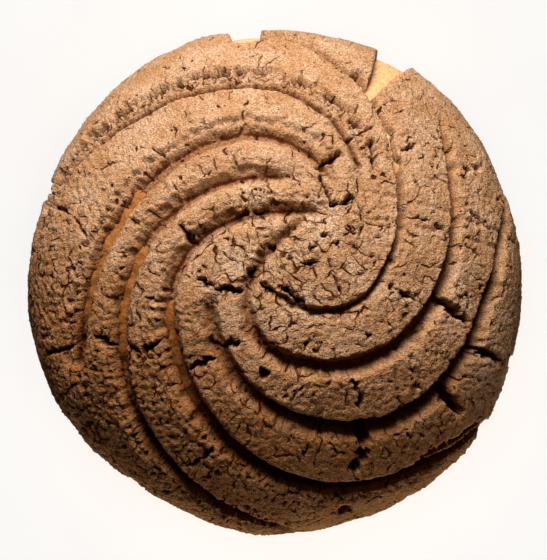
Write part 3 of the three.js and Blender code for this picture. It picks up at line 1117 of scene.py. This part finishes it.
class Skin:
    """A closed skin of rings round the axis, from a pole on top to one below, with its marks and bake map."""

    def __init__(self) -> None:
        """Starts with no rings."""
        self.rings: list[Array] = []
        self.maps: list[Array] = []
        self.marks: list[dict[Mark, Array]] = []
        self.lower_from: int = 0

    def ring(self, points: Array, chart: Array, marks: dict[Mark, Array]) -> None:
        """Adds a ring.

        Args:
            points: Points in space, in millimetres.
            chart: Their places on the flat-laid form.
            marks: Their marks.
        """
        self.rings.append(points)
        self.maps.append(chart)
        self.marks.append(marks)

    def start_lower_chart(self) -> None:
        """Says that what follows the last ring is the underside, with a chart of its own."""
        self.lower_from = len(self.rings) - 1

    def faces(self) -> tuple[Array, Array]:
        """Stitches each ring to the next.

        Returns:
            Corner numbers of the triangles, and for each whether it is on the underside.
        """
        start = np.concatenate([[0], np.cumsum([len(r) for r in self.rings])])
        made, lower = [], []
        for k in range(len(self.rings) - 1):
            n, m = len(self.rings[k]), len(self.rings[k + 1])
            turn = np.concatenate([np.arange(1, n + 1) / n, np.arange(1, m + 1) / m + 1e-9])
            inner = np.concatenate([np.ones(n, bool), np.zeros(m, bool)])[np.argsort(turn, kind="stable")]
            i = np.cumsum(inner) - inner
            j = np.cumsum(~inner) - ~inner
            a, a_next = start[k] + i % n, start[k] + (i + 1) % n
            b, b_next = start[k + 1] + j % m, start[k + 1] + (j + 1) % m
            tri = np.stack([a, b, np.where(inner, a_next, b_next)], axis=1)
            real = (tri[:, 0] != tri[:, 1]) & (tri[:, 1] != tri[:, 2]) & (tri[:, 0] != tri[:, 2])
            made.append(tri[real])
            lower.append(np.full(int(real.sum()), k >= self.lower_from))
        return np.vstack(made), np.concatenate(lower)

    def piece(self, name: str, upper_chart: tuple[Plan, float],
              lower_chart: tuple[Plan, float]) -> bpy.types.Object:
        """Makes the mesh object.

        Args:
            name: Name of the piece.
            upper_chart: Middle of the upper side's disc on the bake map, and its size for a millimetre.
            lower_chart: The same for the underside.

        Returns:
            The piece, linked to the scene.
        """
        points = np.vstack(self.rings) * MM
        chart = np.vstack(self.maps)
        faces, lower = self.faces()
        mesh = bpy.data.meshes.new(name)
        mesh.vertices.add(len(points))
        mesh.vertices.foreach_set("co", points.astype(np.float32).ravel())
        mesh.loops.add(3 * len(faces))
        mesh.loops.foreach_set("vertex_index", faces.astype(np.int32).ravel())
        mesh.polygons.add(len(faces))
        mesh.polygons.foreach_set("loop_start", np.arange(0, 3 * len(faces), 3, dtype=np.int32))
        mesh.update(calc_edges=True)
        mesh.polygons.foreach_set("use_smooth", np.ones(len(faces), bool))
        corner = faces.ravel()
        side = np.repeat(lower, 3)[:, None]
        spread = [np.array(c[0]) + chart[corner] * c[1] for c in (upper_chart, lower_chart)]
        layer = mesh.uv_layers.new(name=BAKE_MAP)
        layer.data.foreach_set("uv", np.where(side, spread[1], spread[0]).astype(np.float32).ravel())
        for mark in Mark:
            values = np.concatenate([m.get(mark, np.zeros(len(r))) for m, r in zip(self.marks, self.rings)])
            attribute = mesh.attributes.new(mark.value, "FLOAT", "POINT")
            attribute.data.foreach_set("value", values.astype(np.float32))
        mesh.validate()
        piece = bpy.data.objects.new(name, mesh)
        bpy.context.scene.collection.objects.link(piece)
        return piece


def circle(arc: Array, count: int) -> Array:
    """Ring of flat-laid points.

    Args:
        arc: Arc length from the top, one number or one for each point.
        count: Number of points.

    Returns:
        The points, one a row.
    """
    turn = np.arange(count) * 2 * math.pi / count
    return np.stack([np.cos(turn), np.sin(turn)], axis=1) * np.reshape(arc, (-1, 1))


def ring_count(away: float, edge: float) -> int:
    """Number of points of a ring at a distance from the axis, one at the pole."""
    return 1 if away == 0 else max(6, round(2 * math.pi * away / edge))


@dataclass
class Topping:
    """The cocoa sugar topping: its rim, grooves, breaks, pits, cracks and grain, as one closed skin."""

    dome: Dome
    grit: Grit
    finish: CocoaSugarPaste
    grooves: tuple[Groove, ...] = GROOVES
    breaks: tuple[Break, ...] = BREAKS
    pits: tuple[Pit, ...] = PITS
    spills: tuple[Spill, ...] = SPILLS
    notches: tuple[Notch, ...] = NOTCHES
    rim_tilt: float = 104.0
    rim_waves: tuple[Swell, ...] = (Swell(5, 4.5, 20), Swell(9, 2.5, 75), Swell(14, 1.5, 8))
    rim_crumble: float = 1.6
    rim_crumble_mm: float = 6.0
    rim_chart: float = 50.0
    rim_rows: int = 7
    rim_round: float = 1.15
    film: float = 0.3
    press_share: float = 0.86
    jagged_from: float = 0.95
    bare_drop: float = 0.6
    spacing_crown: float = 0.4
    spacing_rim: float = 0.72
    underside_step: float = 6.0
    underside_depth: float = 1.3
    sway: float = 0.3
    sway_mm: float = 6.0
    shiver_mm: float = 1.9
    soft_shiver: float = 0.17
    bent_shiver: float = 0.5
    jagged_shiver: float = 0.75
    chip: float = 1.1
    chip_mm: float = 3.6
    seam_mm: float = 3.6
    undercut_mm: float = 3.4
    split_share: float = 0.9
    lip_tip: float = 0.22
    lip_tip_mm: float = 2.5
    lip_chip: float = 0.45
    lip_chip_mm: float = 0.6
    far_off: float = 9.0
    patch_mm: float = 9.0
    coarse_mm: float = 12.0
    crumb_mm: float = 22.0
    ragged_mm: float = 1.8
    uneven_mm: float = 1.7
    swell_mm: float = 15.0
    sand_mm: Span = (2.4, 1.0)
    bubble_mm: float = 2.5
    pore_mm: float = 2.0
    loose_mm: float = 1.5
    lump_mm: float = 1.6
    crack_fall_mm: float = 0.32
    fine_from: float = 48.0
    ragged_from: float = 50.0
    eye: Plan = (2.3, -1.8)
    plates: CrackNet = CrackNet(3.3, 0.22, 0.6, 31.0)
    hairs: CrackNet = CrackNet(1.8, 0.12, 0.4, 77.0)
    clods: CrackNet = CrackNet(1.7, 0.18, 0.35, 53.0)

    def rim_arc(self, bearing: Array) -> Array:
        """Arc length of the rim.

        Args:
            bearing: Bearings in radians.

        Returns:
            Arc length from the top at each.
        """
        tilt = self.rim_tilt + sum(wave.at(bearing) for wave in self.rim_waves)
        edge = np.stack([np.cos(bearing), np.sin(bearing)], axis=1) * self.rim_chart
        crumble = self.rim_crumble * self.grit.lumps(edge, self.rim_crumble_mm, 3)
        return self.dome.arc_of(np.radians(tilt)) + crumble

    def cracks(self, flat: Array, pressed: Array, crumbly: Array) -> dict[Mark, Array]:
        """Shrinkage cracks: plates in the middle, and cracks across the ridges further out.

        Args:
            flat: Points of the flat-laid form.
            pressed: How far each is pressed.
            crumbly: How far each lies in a crumbly wall.

        Returns:
            Marks of both networks.
        """
        grit = self.grit
        away = flat - np.array(self.eye)
        radius = np.hypot(*away.T)
        outward = away / np.maximum(radius, 1e-6)[:, None]
        outer = ease(15, 22, radius)
        patchy = grit.lumps(flat + 90, self.patch_mm, 2)
        upper = ease(20, 44, flat[:, 1] - 0.45 * flat[:, 0])
        coarse = self.coarse(flat)
        chance = (0.95 - 0.2 * outer - 0.2 * upper) * (1 + 0.4 * patchy) - 0.08 * pressed + 0.12 * coarse
        grain = outward * (0.35 * outer * (1 - 0.7 * coarse))[:, None]
        plates, gape = self.plates.lay(flat, grit, chance - 0.5 * crumbly, grain)
        gape = gape * (1.2 - 0.2 * outer + 0.3 * coarse)
        hairs, hair_gape = self.hairs.lay(flat, grit, chance - 0.15 - 0.2 * outer, grain)
        clods = self.clods.lay(flat, grit, 0.4 + crumbly, 0 * grain)
        torn = crumbly > 0.25
        return {
            Mark.CRACK: plates.border, Mark.GAPE: gape,
            Mark.HAIR_CRACK: np.where(torn, clods[0].border, hairs.border),
            Mark.HAIR_GAPE: np.where(torn, clods[1] * crumbly, hair_gape),
        }

    def coarse(self, flat: Array) -> Array:
        """How coarsely the paste broke up at points of the flat-laid form, most on the lower left."""
        lumps = self.grit.lumps(flat + 800, self.coarse_mm, 2)
        return ease(4, 36, -0.75 * flat[:, 1] - 0.65 * flat[:, 0] + 6 * lumps)

    def relief(self, flat: Array) -> tuple[Array, dict[Mark, Array]]:
        """Works out the surface.

        Args:
            flat: Points of the flat-laid form.

        Returns:
            How far each stands out of the outer form in millimetres, and its marks.
        """
        grit, dome = self.grit, self.dome
        depth = dome.bread_depth(dome.tilt_of(np.hypot(*flat.T)))
        sway = np.stack([grit.lumps(flat + shift, self.sway_mm, 2) for shift in (0, 200)], axis=1)
        shiver = np.stack([grit.lumps(flat + shift, self.shiver_mm, 3) for shift in (60, -60)], axis=1)
        soft, bent, jagged = (
            flat + self.sway * sway + share * shiver
            for share in (self.soft_shiver, self.bent_shiver, self.jagged_shiver))
        chips = self.chip * np.maximum(grit.lumps(flat + 77, self.chip_mm, 2) + 0.05, 0)
        imprint = reduce(Imprint.with_other, (groove.press(soft, dome, chips) for groove in self.grooves))
        ragged = 0.5 * grit.lumps(flat + 41, self.ragged_mm, 3) * (imprint.bare > 0.02)
        bare = ease(0.4, 0.65, imprint.bare + ragged)
        pressed, crumbly = np.maximum(imprint.pressed, bare), imprint.crumbly
        for spill in self.spills:
            heap = spill.heap(jagged, dome)
            pressed = pressed * (1 - spill.fill * heap)
            crumbly = np.maximum(crumbly, heap)
        marks = self.cracks(flat, pressed, crumbly)
        seams = imprint.seam * (1 - bare) * ease(-0.8, -0.15, grit.lumps(flat + 55, self.seam_mm, 2))
        undercuts = imprint.undercut * ease(-0.2, 0.0, grit.lumps(flat + 155, self.undercut_mm, 2))
        lips = self.snap(flat, bent, jagged, 0.85 * np.maximum(seams, undercuts), marks)
        gone = np.zeros(len(flat))
        for notch in self.notches:
            gone = np.maximum(gone, notch.open(soft, dome))
        cut = np.maximum(self.press_share * pressed, self.split_share * marks[Mark.SPLIT]) * depth
        bubbly = 0.7 * ease(-10, -45, flat[:, 0] + 0.3 * flat[:, 1])
        crumb = ease(-0.1, 0.7, grit.lumps(flat + 300, self.crumb_mm, 2) + bubbly)
        lift = self.grain(flat, crumb, crumbly, pressed, marks, shiver) + lips - cut
        lift = np.maximum(lift, self.film - depth) - bare * self.bare_drop
        lift += gone * (-depth - self.bare_drop - lift)
        # Painted shade: darker over the front, most on the left, away from the key lamp; also darker towards
        # the rim.
        lower = -flat[:, 1] - np.where(flat[:, 0] < 0, 0.45, 0.15) * flat[:, 0]
        browned = 0.25 * ease(8, 24, np.hypot(*flat.T)) + 0.75 * ease(0, 42, lower)
        marks.update({Mark.STAIN_AND_SHADE: imprint.stained, Mark.RIM_DARK_AND_SHADE: browned})
        return lift, marks

    def snap(self, flat: Array, bent: Array, jagged: Array, split: Array, marks: dict[Mark, Array]) -> Array:
        """Opens the breaks and the pits.

        Args:
            flat: Points of the flat-laid form.
            bent: The same, shifted a little to and fro, for the narrow breaks.
            jagged: The same, shifted further, for the wide ones.
            split: How far each is open already.
            marks: Takes the marks of the breaks and of all that is open.

        Returns:
            Height that the tipped and chipped lips add to each point, in millimetres.
        """
        uneven = self.grit.lumps(flat + 150, self.uneven_mm, 2)
        nearest = np.full(len(flat), self.far_off)
        gape, tipped, chipped = (np.zeros(len(flat)) for _ in range(3))
        for flaw in self.breaks:
            line, half = flaw.open(jagged if flaw.gap > self.jagged_from else bent, self.dome)
            away = np.abs(line)
            half = half * (1 + 0.5 * uneven)
            nearer = half - away > gape - np.abs(nearest)
            nearest, gape = np.where(nearer, line, nearest), np.where(nearer, half, gape)
            inside = 1 - ease(half - 0.15, half + 0.2, away)
            wide = ease(0.15, 0.5, half)
            split = np.maximum(split, flaw.depth * inside * ease(0.1, 0.35, half))
            tipped += wide * np.sign(line) * np.exp(-(line / self.lip_tip_mm) ** 2)
            chipped = np.maximum(chipped, wide * np.exp(-np.maximum(away - half, 0) / self.lip_chip_mm))
        for pit in self.pits:
            split = np.maximum(split, pit.open(jagged, self.dome))
        marks.update({Mark.SNAP: nearest, Mark.SNAP_GAPE: gape, Mark.SPLIT: split})
        return self.lip_tip * tipped - self.lip_chip * chipped

    def grain(self, flat: Array, crumb: Array, crumbly: Array, pressed: Array, marks: dict[Mark, Array],
              shiver: Array) -> Array:
        """Small relief: swells, sandy lumps, tipped plates, bubbles and pits.

        Args:
            flat: Points of the flat-laid form.
            crumb: How bubbly the paste is at each.
            crumbly: How far it lies in a crumbly wall.
            pressed: How far it is pressed.
            marks: Marks of the cracks; takes the painted hollow shade and the pits too.
            shiver: Small shifts that bend the bubbles.

        Returns:
            Height of each point in millimetres.
        """
        grit = self.grit
        plates = sum(
            -1.3 * marks[gape] * np.exp(-np.abs(marks[line]) / self.crack_fall_mm) for line, gape in LINES)
        bubbles = grit.cells(flat + 0.45 * shiver, self.bubble_mm)
        bubble = ease(0.0, 0.9, np.abs(bubbles.border)) * (0.5 + 0.5 * bubbles.draw)
        loose = grit.cells(flat + 0.6 * shiver + 700, self.loose_mm)
        lumps = 0.5 * grit.lumps(flat + 640, self.lump_mm, 2)
        clods = crumbly * (ease(0.0, 0.4, np.abs(marks[Mark.HAIR_CRACK])) - 0.4 + lumps)
        hole = np.full(len(flat), self.far_off)
        pores = grit.cells(flat + 0.8 * shiver + 350, self.pore_mm)
        for cells, chance, widest in ((pores, 0.2 + 0.24 * crumb, 0.4), (loose, 0.36 * crumbly, 0.6)):
            radius = 0.05 + widest * (1 - cells.draw / np.maximum(chance, 0.01))
            hole = np.where(cells.draw < chance, np.minimum(hole, cells.middle - radius), hole)
        marks[Mark.PIT] = hole
        coarse, fine = self.sand_mm
        sand = 0.3 * grit.lumps(flat + 11, coarse, 2) + 0.9 * grit.lumps(flat + 23, fine, 2)
        wall = 4 * pressed * (1 - pressed)
        # Painted hollow shade: darker in the low spots of the sand and beside opened cracks.
        marks[Mark.HOLLOW_SHADE] = np.maximum(0.7 * ease(0.0, 0.7, -sand), 0.8 * ease(0.05, 0.3, -plates))
        swell = 0.4 * grit.lumps(flat - 15, self.swell_mm, 2) * (1 - pressed)
        rough = (0.21 + 0.08 * crumb + 0.12 * wall) * sand + 0.35 * crumb * bubble
        return swell + rough + plates + 0.5 * clods - 0.8 * (1 - ease(-0.3, 0.15, hole)) * (1 - 0.5 * pressed)

    def arcs(self) -> list[float]:
        """Spaces the rings, closer on the crown than at the rim.

        Returns:
            Their arc lengths from the top.
        """
        rim = float(self.dome.arc_of(math.radians(self.rim_tilt)))
        found = [0.0]
        while found[-1] < rim - self.spacing_rim:
            wider = ease(self.fine_from, rim, found[-1])
            step = self.spacing_crown + (self.spacing_rim - self.spacing_crown) * wider
            found.append(found[-1] + float(step) * math.sqrt(3) / 2)
        return found + [rim]

    def build(self) -> bpy.types.Object:
        """Builds the skin, dresses it and sets it on the body.

        Returns:
            The piece.
        """
        dome = self.dome
        arcs = self.arcs()
        rim = arcs[-1]
        flats = []
        for arc, after in zip(arcs, arcs[1:] + [2 * rim - arcs[-2]]):
            away = dome.away_at(arc)
            edge = (after - arc) * 2 / math.sqrt(3)
            count = ring_count(away, edge)
            turn = np.arange(count) * 2 * math.pi / count
            ragged = (self.rim_arc(turn) - rim) * ease(self.ragged_from, rim, arc)
            flats.append(circle(arc + ragged, count))
        lifts, marks = self.relief(np.vstack(flats))
        skin = Skin()
        start = 0
        for flat in flats:
            part = slice(start, start + len(flat))
            skin.ring(dome.raise_up(flat, lifts[part]), flat, {m: v[part] for m, v in marks.items()})
            start += len(flat)
        self.add_underside(skin, flats[-1], lifts[-len(flats[-1]):], {m: v[part] for m, v in marks.items()})
        piece = skin.piece("topping_paste", ((0.46, 0.54), 0.0054), ((0.935, 0.065), 0.0007))
        piece.data.materials.append(self.finish.material())
        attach(piece, BODY)
        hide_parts(CadNode.TOPPING.value)
        return piece

    def add_underside(self, skin: Skin, edge: Array, lift: Array, marks: dict[Mark, Array]) -> None:
        """Turns the rim in with a crumbly round and closes the skin inside the bread.

        Args:
            skin: Skin to close.
            edge: Flat-laid points of the last ring.
            lift: Their heights.
            marks: Their marks.
        """
        dome = self.dome
        arc = np.hypot(*edge.T)
        unit = edge / arc[:, None]
        low = -(dome.bread_depth(dome.tilt_of(arc)) + self.underside_depth)
        for row in range(1, self.rim_rows + 1):
            turn = math.pi * row / self.rim_rows
            share = 0.5 * (1 - math.cos(turn))
            swell = 1 + 0.25 * self.grit.lumps(edge + 3.0 * row, 2.0, 2)
            flat = unit * (arc + self.rim_round * math.sin(turn) * swell)[:, None]
            skin.ring(dome.raise_up(flat, lift + (low - lift) * share), flat, marks)
        skin.start_lower_chart()
        steps = int(arc.mean() // self.underside_step)
        for row in range(steps, -1, -1):
            flat = circle(row * self.underside_step * 0.97, ring_count(row, 1))
            depth = dome.bread_depth(dome.tilt_of(np.hypot(*flat.T))) + self.underside_depth
            skin.ring(dome.raise_up(flat, -depth), flat, {})


@dataclass
class Bun:
    """The bread: the dome under the topping, the bare side and the flat base, as one closed skin."""

    dome: Dome
    grit: Grit
    finish: BakedBread
    grooves: tuple[Groove, ...] = GROOVES
    notches: tuple[Notch, ...] = NOTCHES
    rise_share: float = 0.3
    strip_rough: float = 0.35
    strip_rough_mm: float = 2.6
    wrinkle: Span = (0.12, 0.05)
    wrinkle_mm: Span = (5.0, 1.8)
    bulge: float = 0.35
    bulge_mm: float = 14.0
    spacing_crown: float = 0.8
    spacing_side: float = 0.7
    finer_from: float = 1.2
    side_tilt: float = math.radians(78)
    base_round: float = 2.0
    base_rows: int = 4
    base_step: float = 2.4

    def lift(self, flat: Array) -> Array:
        """Height of the crust.

        Args:
            flat: Points of the flat-laid form.

        Returns:
            How far each stands out of the outer form, in millimetres.
        """
        tilt = self.dome.tilt_of(np.hypot(*flat.T))
        side = ease(self.dome.side_from, self.dome.side_to, tilt)
        wrinkle = sum(
            height * self.grit.lumps(flat + shift, size, 2)
            for height, size, shift in zip(self.wrinkle, self.wrinkle_mm, (400, 500)))
        risen = np.zeros(len(flat))
        for groove in self.grooves:
            risen = np.maximum(risen, groove.press(flat, self.dome).risen)
        risen *= 1 + self.strip_rough * self.grit.lumps(flat + 850, self.strip_rough_mm, 2)
        for notch in self.notches:
            risen = np.maximum(risen, notch.open(flat, self.dome))
        bulge = self.bulge * side * self.grit.lumps(flat + 600, self.bulge_mm, 2)
        return wrinkle + bulge - self.dome.bread_depth(tilt) * (1 - self.rise_share * risen)

    def build(self) -> bpy.types.Object:
        """Builds the skin, dresses it and sets it on the body.

        Returns:
            The piece.
        """
        dome = self.dome
        reach = dome.shoulder_radius - dome.bread_depth_side
        last_tilt = math.pi - math.acos((dome.ring_height - self.base_round * 0.6) / reach)
        end = float(dome.arc_of(last_tilt))
        skin = Skin()
        flats = []
        arc = 0.0
        while arc < end:
            away = dome.away_at(arc)
            tilt = float(dome.tilt_of(np.array(arc)))
            finer = float(ease(self.finer_from, self.side_tilt, tilt))
            edge = self.spacing_crown + (self.spacing_side - self.spacing_crown) * finer
            flats.append(circle(arc, ring_count(away, edge)))
            arc += edge * math.sqrt(3) / 2
        lifts = np.split(self.lift(np.vstack(flats)), np.cumsum([len(flat) for flat in flats])[:-1])
        for flat, lift in zip(flats, lifts):
            skin.ring(dome.raise_up(flat, lift), flat, {})
        self.add_base(skin, end)
        piece = skin.piece("bread_bun", ((0.4, 0.6), 0.0042), ((0.84, 0.16), 0.0033))
        piece.data.materials.append(self.finish.material())
        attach(piece, BODY)
        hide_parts(CadNode.BUN.value)
        return piece

    def add_base(self, skin: Skin, end: float) -> None:
        """Rounds the side into the flat base and closes the skin.

        Args:
            skin: Skin to close.
            end: Arc length at which the side stops.
        """
        edge = skin.rings[-1]
        away = np.hypot(edge[:, 0], edge[:, 1])
        level = edge[:, 2]
        unit = edge[:, :2] / away[:, None]
        for row in range(1, self.base_rows + 1):
            turn = 0.5 * math.pi * row / self.base_rows
            inward = away - self.base_round * (1 - math.cos(turn))
            ring = np.column_stack([unit * inward[:, None], level * (1 - math.sin(turn))])
            skin.ring(ring, unit * (end + row * 0.6), {})
        skin.maps[-1] = skin.rings[-1][:, :2]
        skin.start_lower_chart()
        radius = float(away.mean()) - self.base_round
        for row in range(int(radius // self.base_step) - 1, -1, -1):
            flat = circle(row * self.base_step, ring_count(row, 1))
            skin.ring(np.column_stack([flat, np.zeros(len(flat))]), flat, {})


class Lamp(Enum):
    """Lamps of the studio."""

    KEY = "key_softbox"
    SKY = "overhead_softbox"
    FRONT = "front_fill"
    FLOOR = "floor_wash"
    CONTACT = "floor_shade"


@dataclass
class Studio:
    """Plain pale floor, soft lamps and the camera at the photograph's viewing angle."""

    finish: MattFloor
    elevation: float = 84.0
    distance: float = 0.7
    target: Triple = (0.0, 0.0, 0.02)
    frame_height: float = 0.1247
    sensor: float = 36.0
    key_elevation: float = 44.0
    key_bearing: float = 95.0
    key_distance: float = 0.42
    key_size: float = 0.22
    key_power: float = 4.4
    key_tint: str = "#FFFDFA"
    sky_place: Triple = (0.0, 0.25, 0.75)
    sky_size: float = 0.5
    sky_power: float = 0.35
    front_place: Triple = (0.1, -0.55, -0.32)
    front_size: float = 0.4
    front_power: float = 5.0
    front_tint: str = "#FFF9E6"
    fill_tint: str = "#FFC88E"
    wash_place: Triple = (0.0, 0.0, 2.2)
    wash_size: float = 2.0
    wash_tint: str = "#FFFFFF"
    floor_power: float = 57.0
    shade_power: float = 5.0
    ambient: float = 0.004
    floor_radius: float = 3.0

    def camera(self) -> None:
        """Sets up the camera."""
        turn = math.radians(self.elevation)
        back = Vector((0, -math.cos(turn), math.sin(turn)))
        data = bpy.data.cameras.new("camera")
        data.sensor_width = self.sensor
        data.lens = self.sensor * self.distance / self.frame_height
        data.clip_start, data.clip_end = 0.01, 20.0
        camera = bpy.data.objects.new("camera", data)
        camera.location = Vector(self.target) + back * self.distance
        camera.rotation_euler = (-back).to_track_quat("-Z", "Y").to_euler()
        bpy.context.scene.collection.objects.link(camera)
        bpy.context.scene.camera = camera

    def lamp(self, kind: Lamp, place: Vector, size: float, power: float, tint: str,
             lit: bpy.types.Collection) -> bpy.types.Object:
        """Adds a square soft lamp that looks at the object.

        Args:
            kind: Which lamp it is.
            place: Where it stands.
            size: Its side in metres.
            power: Its power in watts.
            tint: Its colour.
            lit: What it lights.

        Returns:
            The lamp.
        """
        data = bpy.data.lights.new(kind.value, "AREA")
        data.size = size
        data.energy = power
        data.color = linear(tint)[:3]
        lamp = bpy.data.objects.new(kind.value, data)
        lamp.location = place
        lamp.rotation_euler = (Vector(self.target) - place).to_track_quat("-Z", "Y").to_euler()
        lamp.visible_camera = False
        lamp.light_linking.receiver_collection = lit
        bpy.context.scene.collection.objects.link(lamp)
        return lamp

    def floor(self) -> bpy.types.Object:
        """Makes the floor, a wide disc whose edge turns up into a backdrop.

        Returns:
            The floor.
        """
        skirt = [(share * self.floor_radius, 0.0) for share in (0.0, 0.05, 0.2, 0.5, 0.8)]
        for step in range(9):
            turn = 0.5 * math.pi * step / 8
            away, level = 0.9 + 0.3 * math.sin(turn), 0.3 * (1 - math.cos(turn))
            skirt.append((self.floor_radius * away, self.floor_radius * level))
        skirt.append((self.floor_radius * 1.2, self.floor_radius))
        skin = Skin()
        for away, level in skirt:
            flat = circle(away, 1 if away == 0 else 64)
            skin.ring(np.column_stack([flat, np.full(len(flat), level)]) / MM, flat, {})
        floor = skin.piece("floor", ((0.5, 0.5), 0.1), ((0.5, 0.5), 0.1))
        floor.data.materials.append(self.finish.material())
        floor.visible_diffuse = False
        floor.visible_shadow = False
        return floor

    def build(self, pieces: list[bpy.types.Object]) -> None:
        """Lights the pieces and the floor.

        Args:
            pieces: Pieces of the object.
        """
        scene = bpy.context.scene
        scene.view_settings.view_transform = "Standard"
        floor = self.floor()
        on_bun = bpy.data.collections.new("lit_bun")
        on_floor = bpy.data.collections.new("lit_floor")
        for piece in pieces:
            on_bun.objects.link(piece)
        on_floor.objects.link(floor)
        self.camera()
        turn = math.radians(self.key_elevation)
        side = math.radians(self.key_bearing)
        aim = Vector((math.cos(side) * math.cos(turn), math.sin(side) * math.cos(turn), math.sin(turn)))
        key = Vector(self.target) + aim * self.key_distance
        self.lamp(Lamp.KEY, key, self.key_size, self.key_power, self.key_tint, on_bun)
        sky, front, above = (Vector(place) for place in (self.sky_place, self.front_place, self.wash_place))
        self.lamp(Lamp.SKY, sky, self.sky_size, self.sky_power, self.fill_tint, on_bun)
        self.lamp(Lamp.FRONT, front, self.front_size, self.front_power, self.front_tint, on_bun)
        wash = self.lamp(Lamp.FLOOR, above, self.wash_size, self.floor_power, self.wash_tint, on_floor)
        wash.light_linking.blocker_collection = on_floor
        self.lamp(Lamp.CONTACT, above, self.wash_size, self.shade_power, self.wash_tint, on_floor)
        world = bpy.data.worlds.new("studio_air")
        world.use_nodes = True
        backdrop = world.node_tree.nodes["Background"]
        backdrop.inputs["Color"].default_value = linear(self.fill_tint)
        backdrop.inputs["Strength"].default_value = self.ambient
        scene.world = world


def main() -> None:
    """Builds the pieces in order, then the studio, and reports each."""
    logging.basicConfig(level=logging.INFO, format="%(name)s: %(message)s")
    dome = Dome()
    grit = Grit(SEED)
    pieces = []
    for part in (Bun(dome, grit, BakedBread()), Topping(dome, grit, CocoaSugarPaste())):
        piece = part.build()
        pieces.append(piece)
        LOG.info("%s: %d triangles", piece.name, len(piece.data.polygons))
    Studio(MattFloor()).build(pieces)
    bpy.context.view_layer.update()


if __name__ == "__main__":
    main()
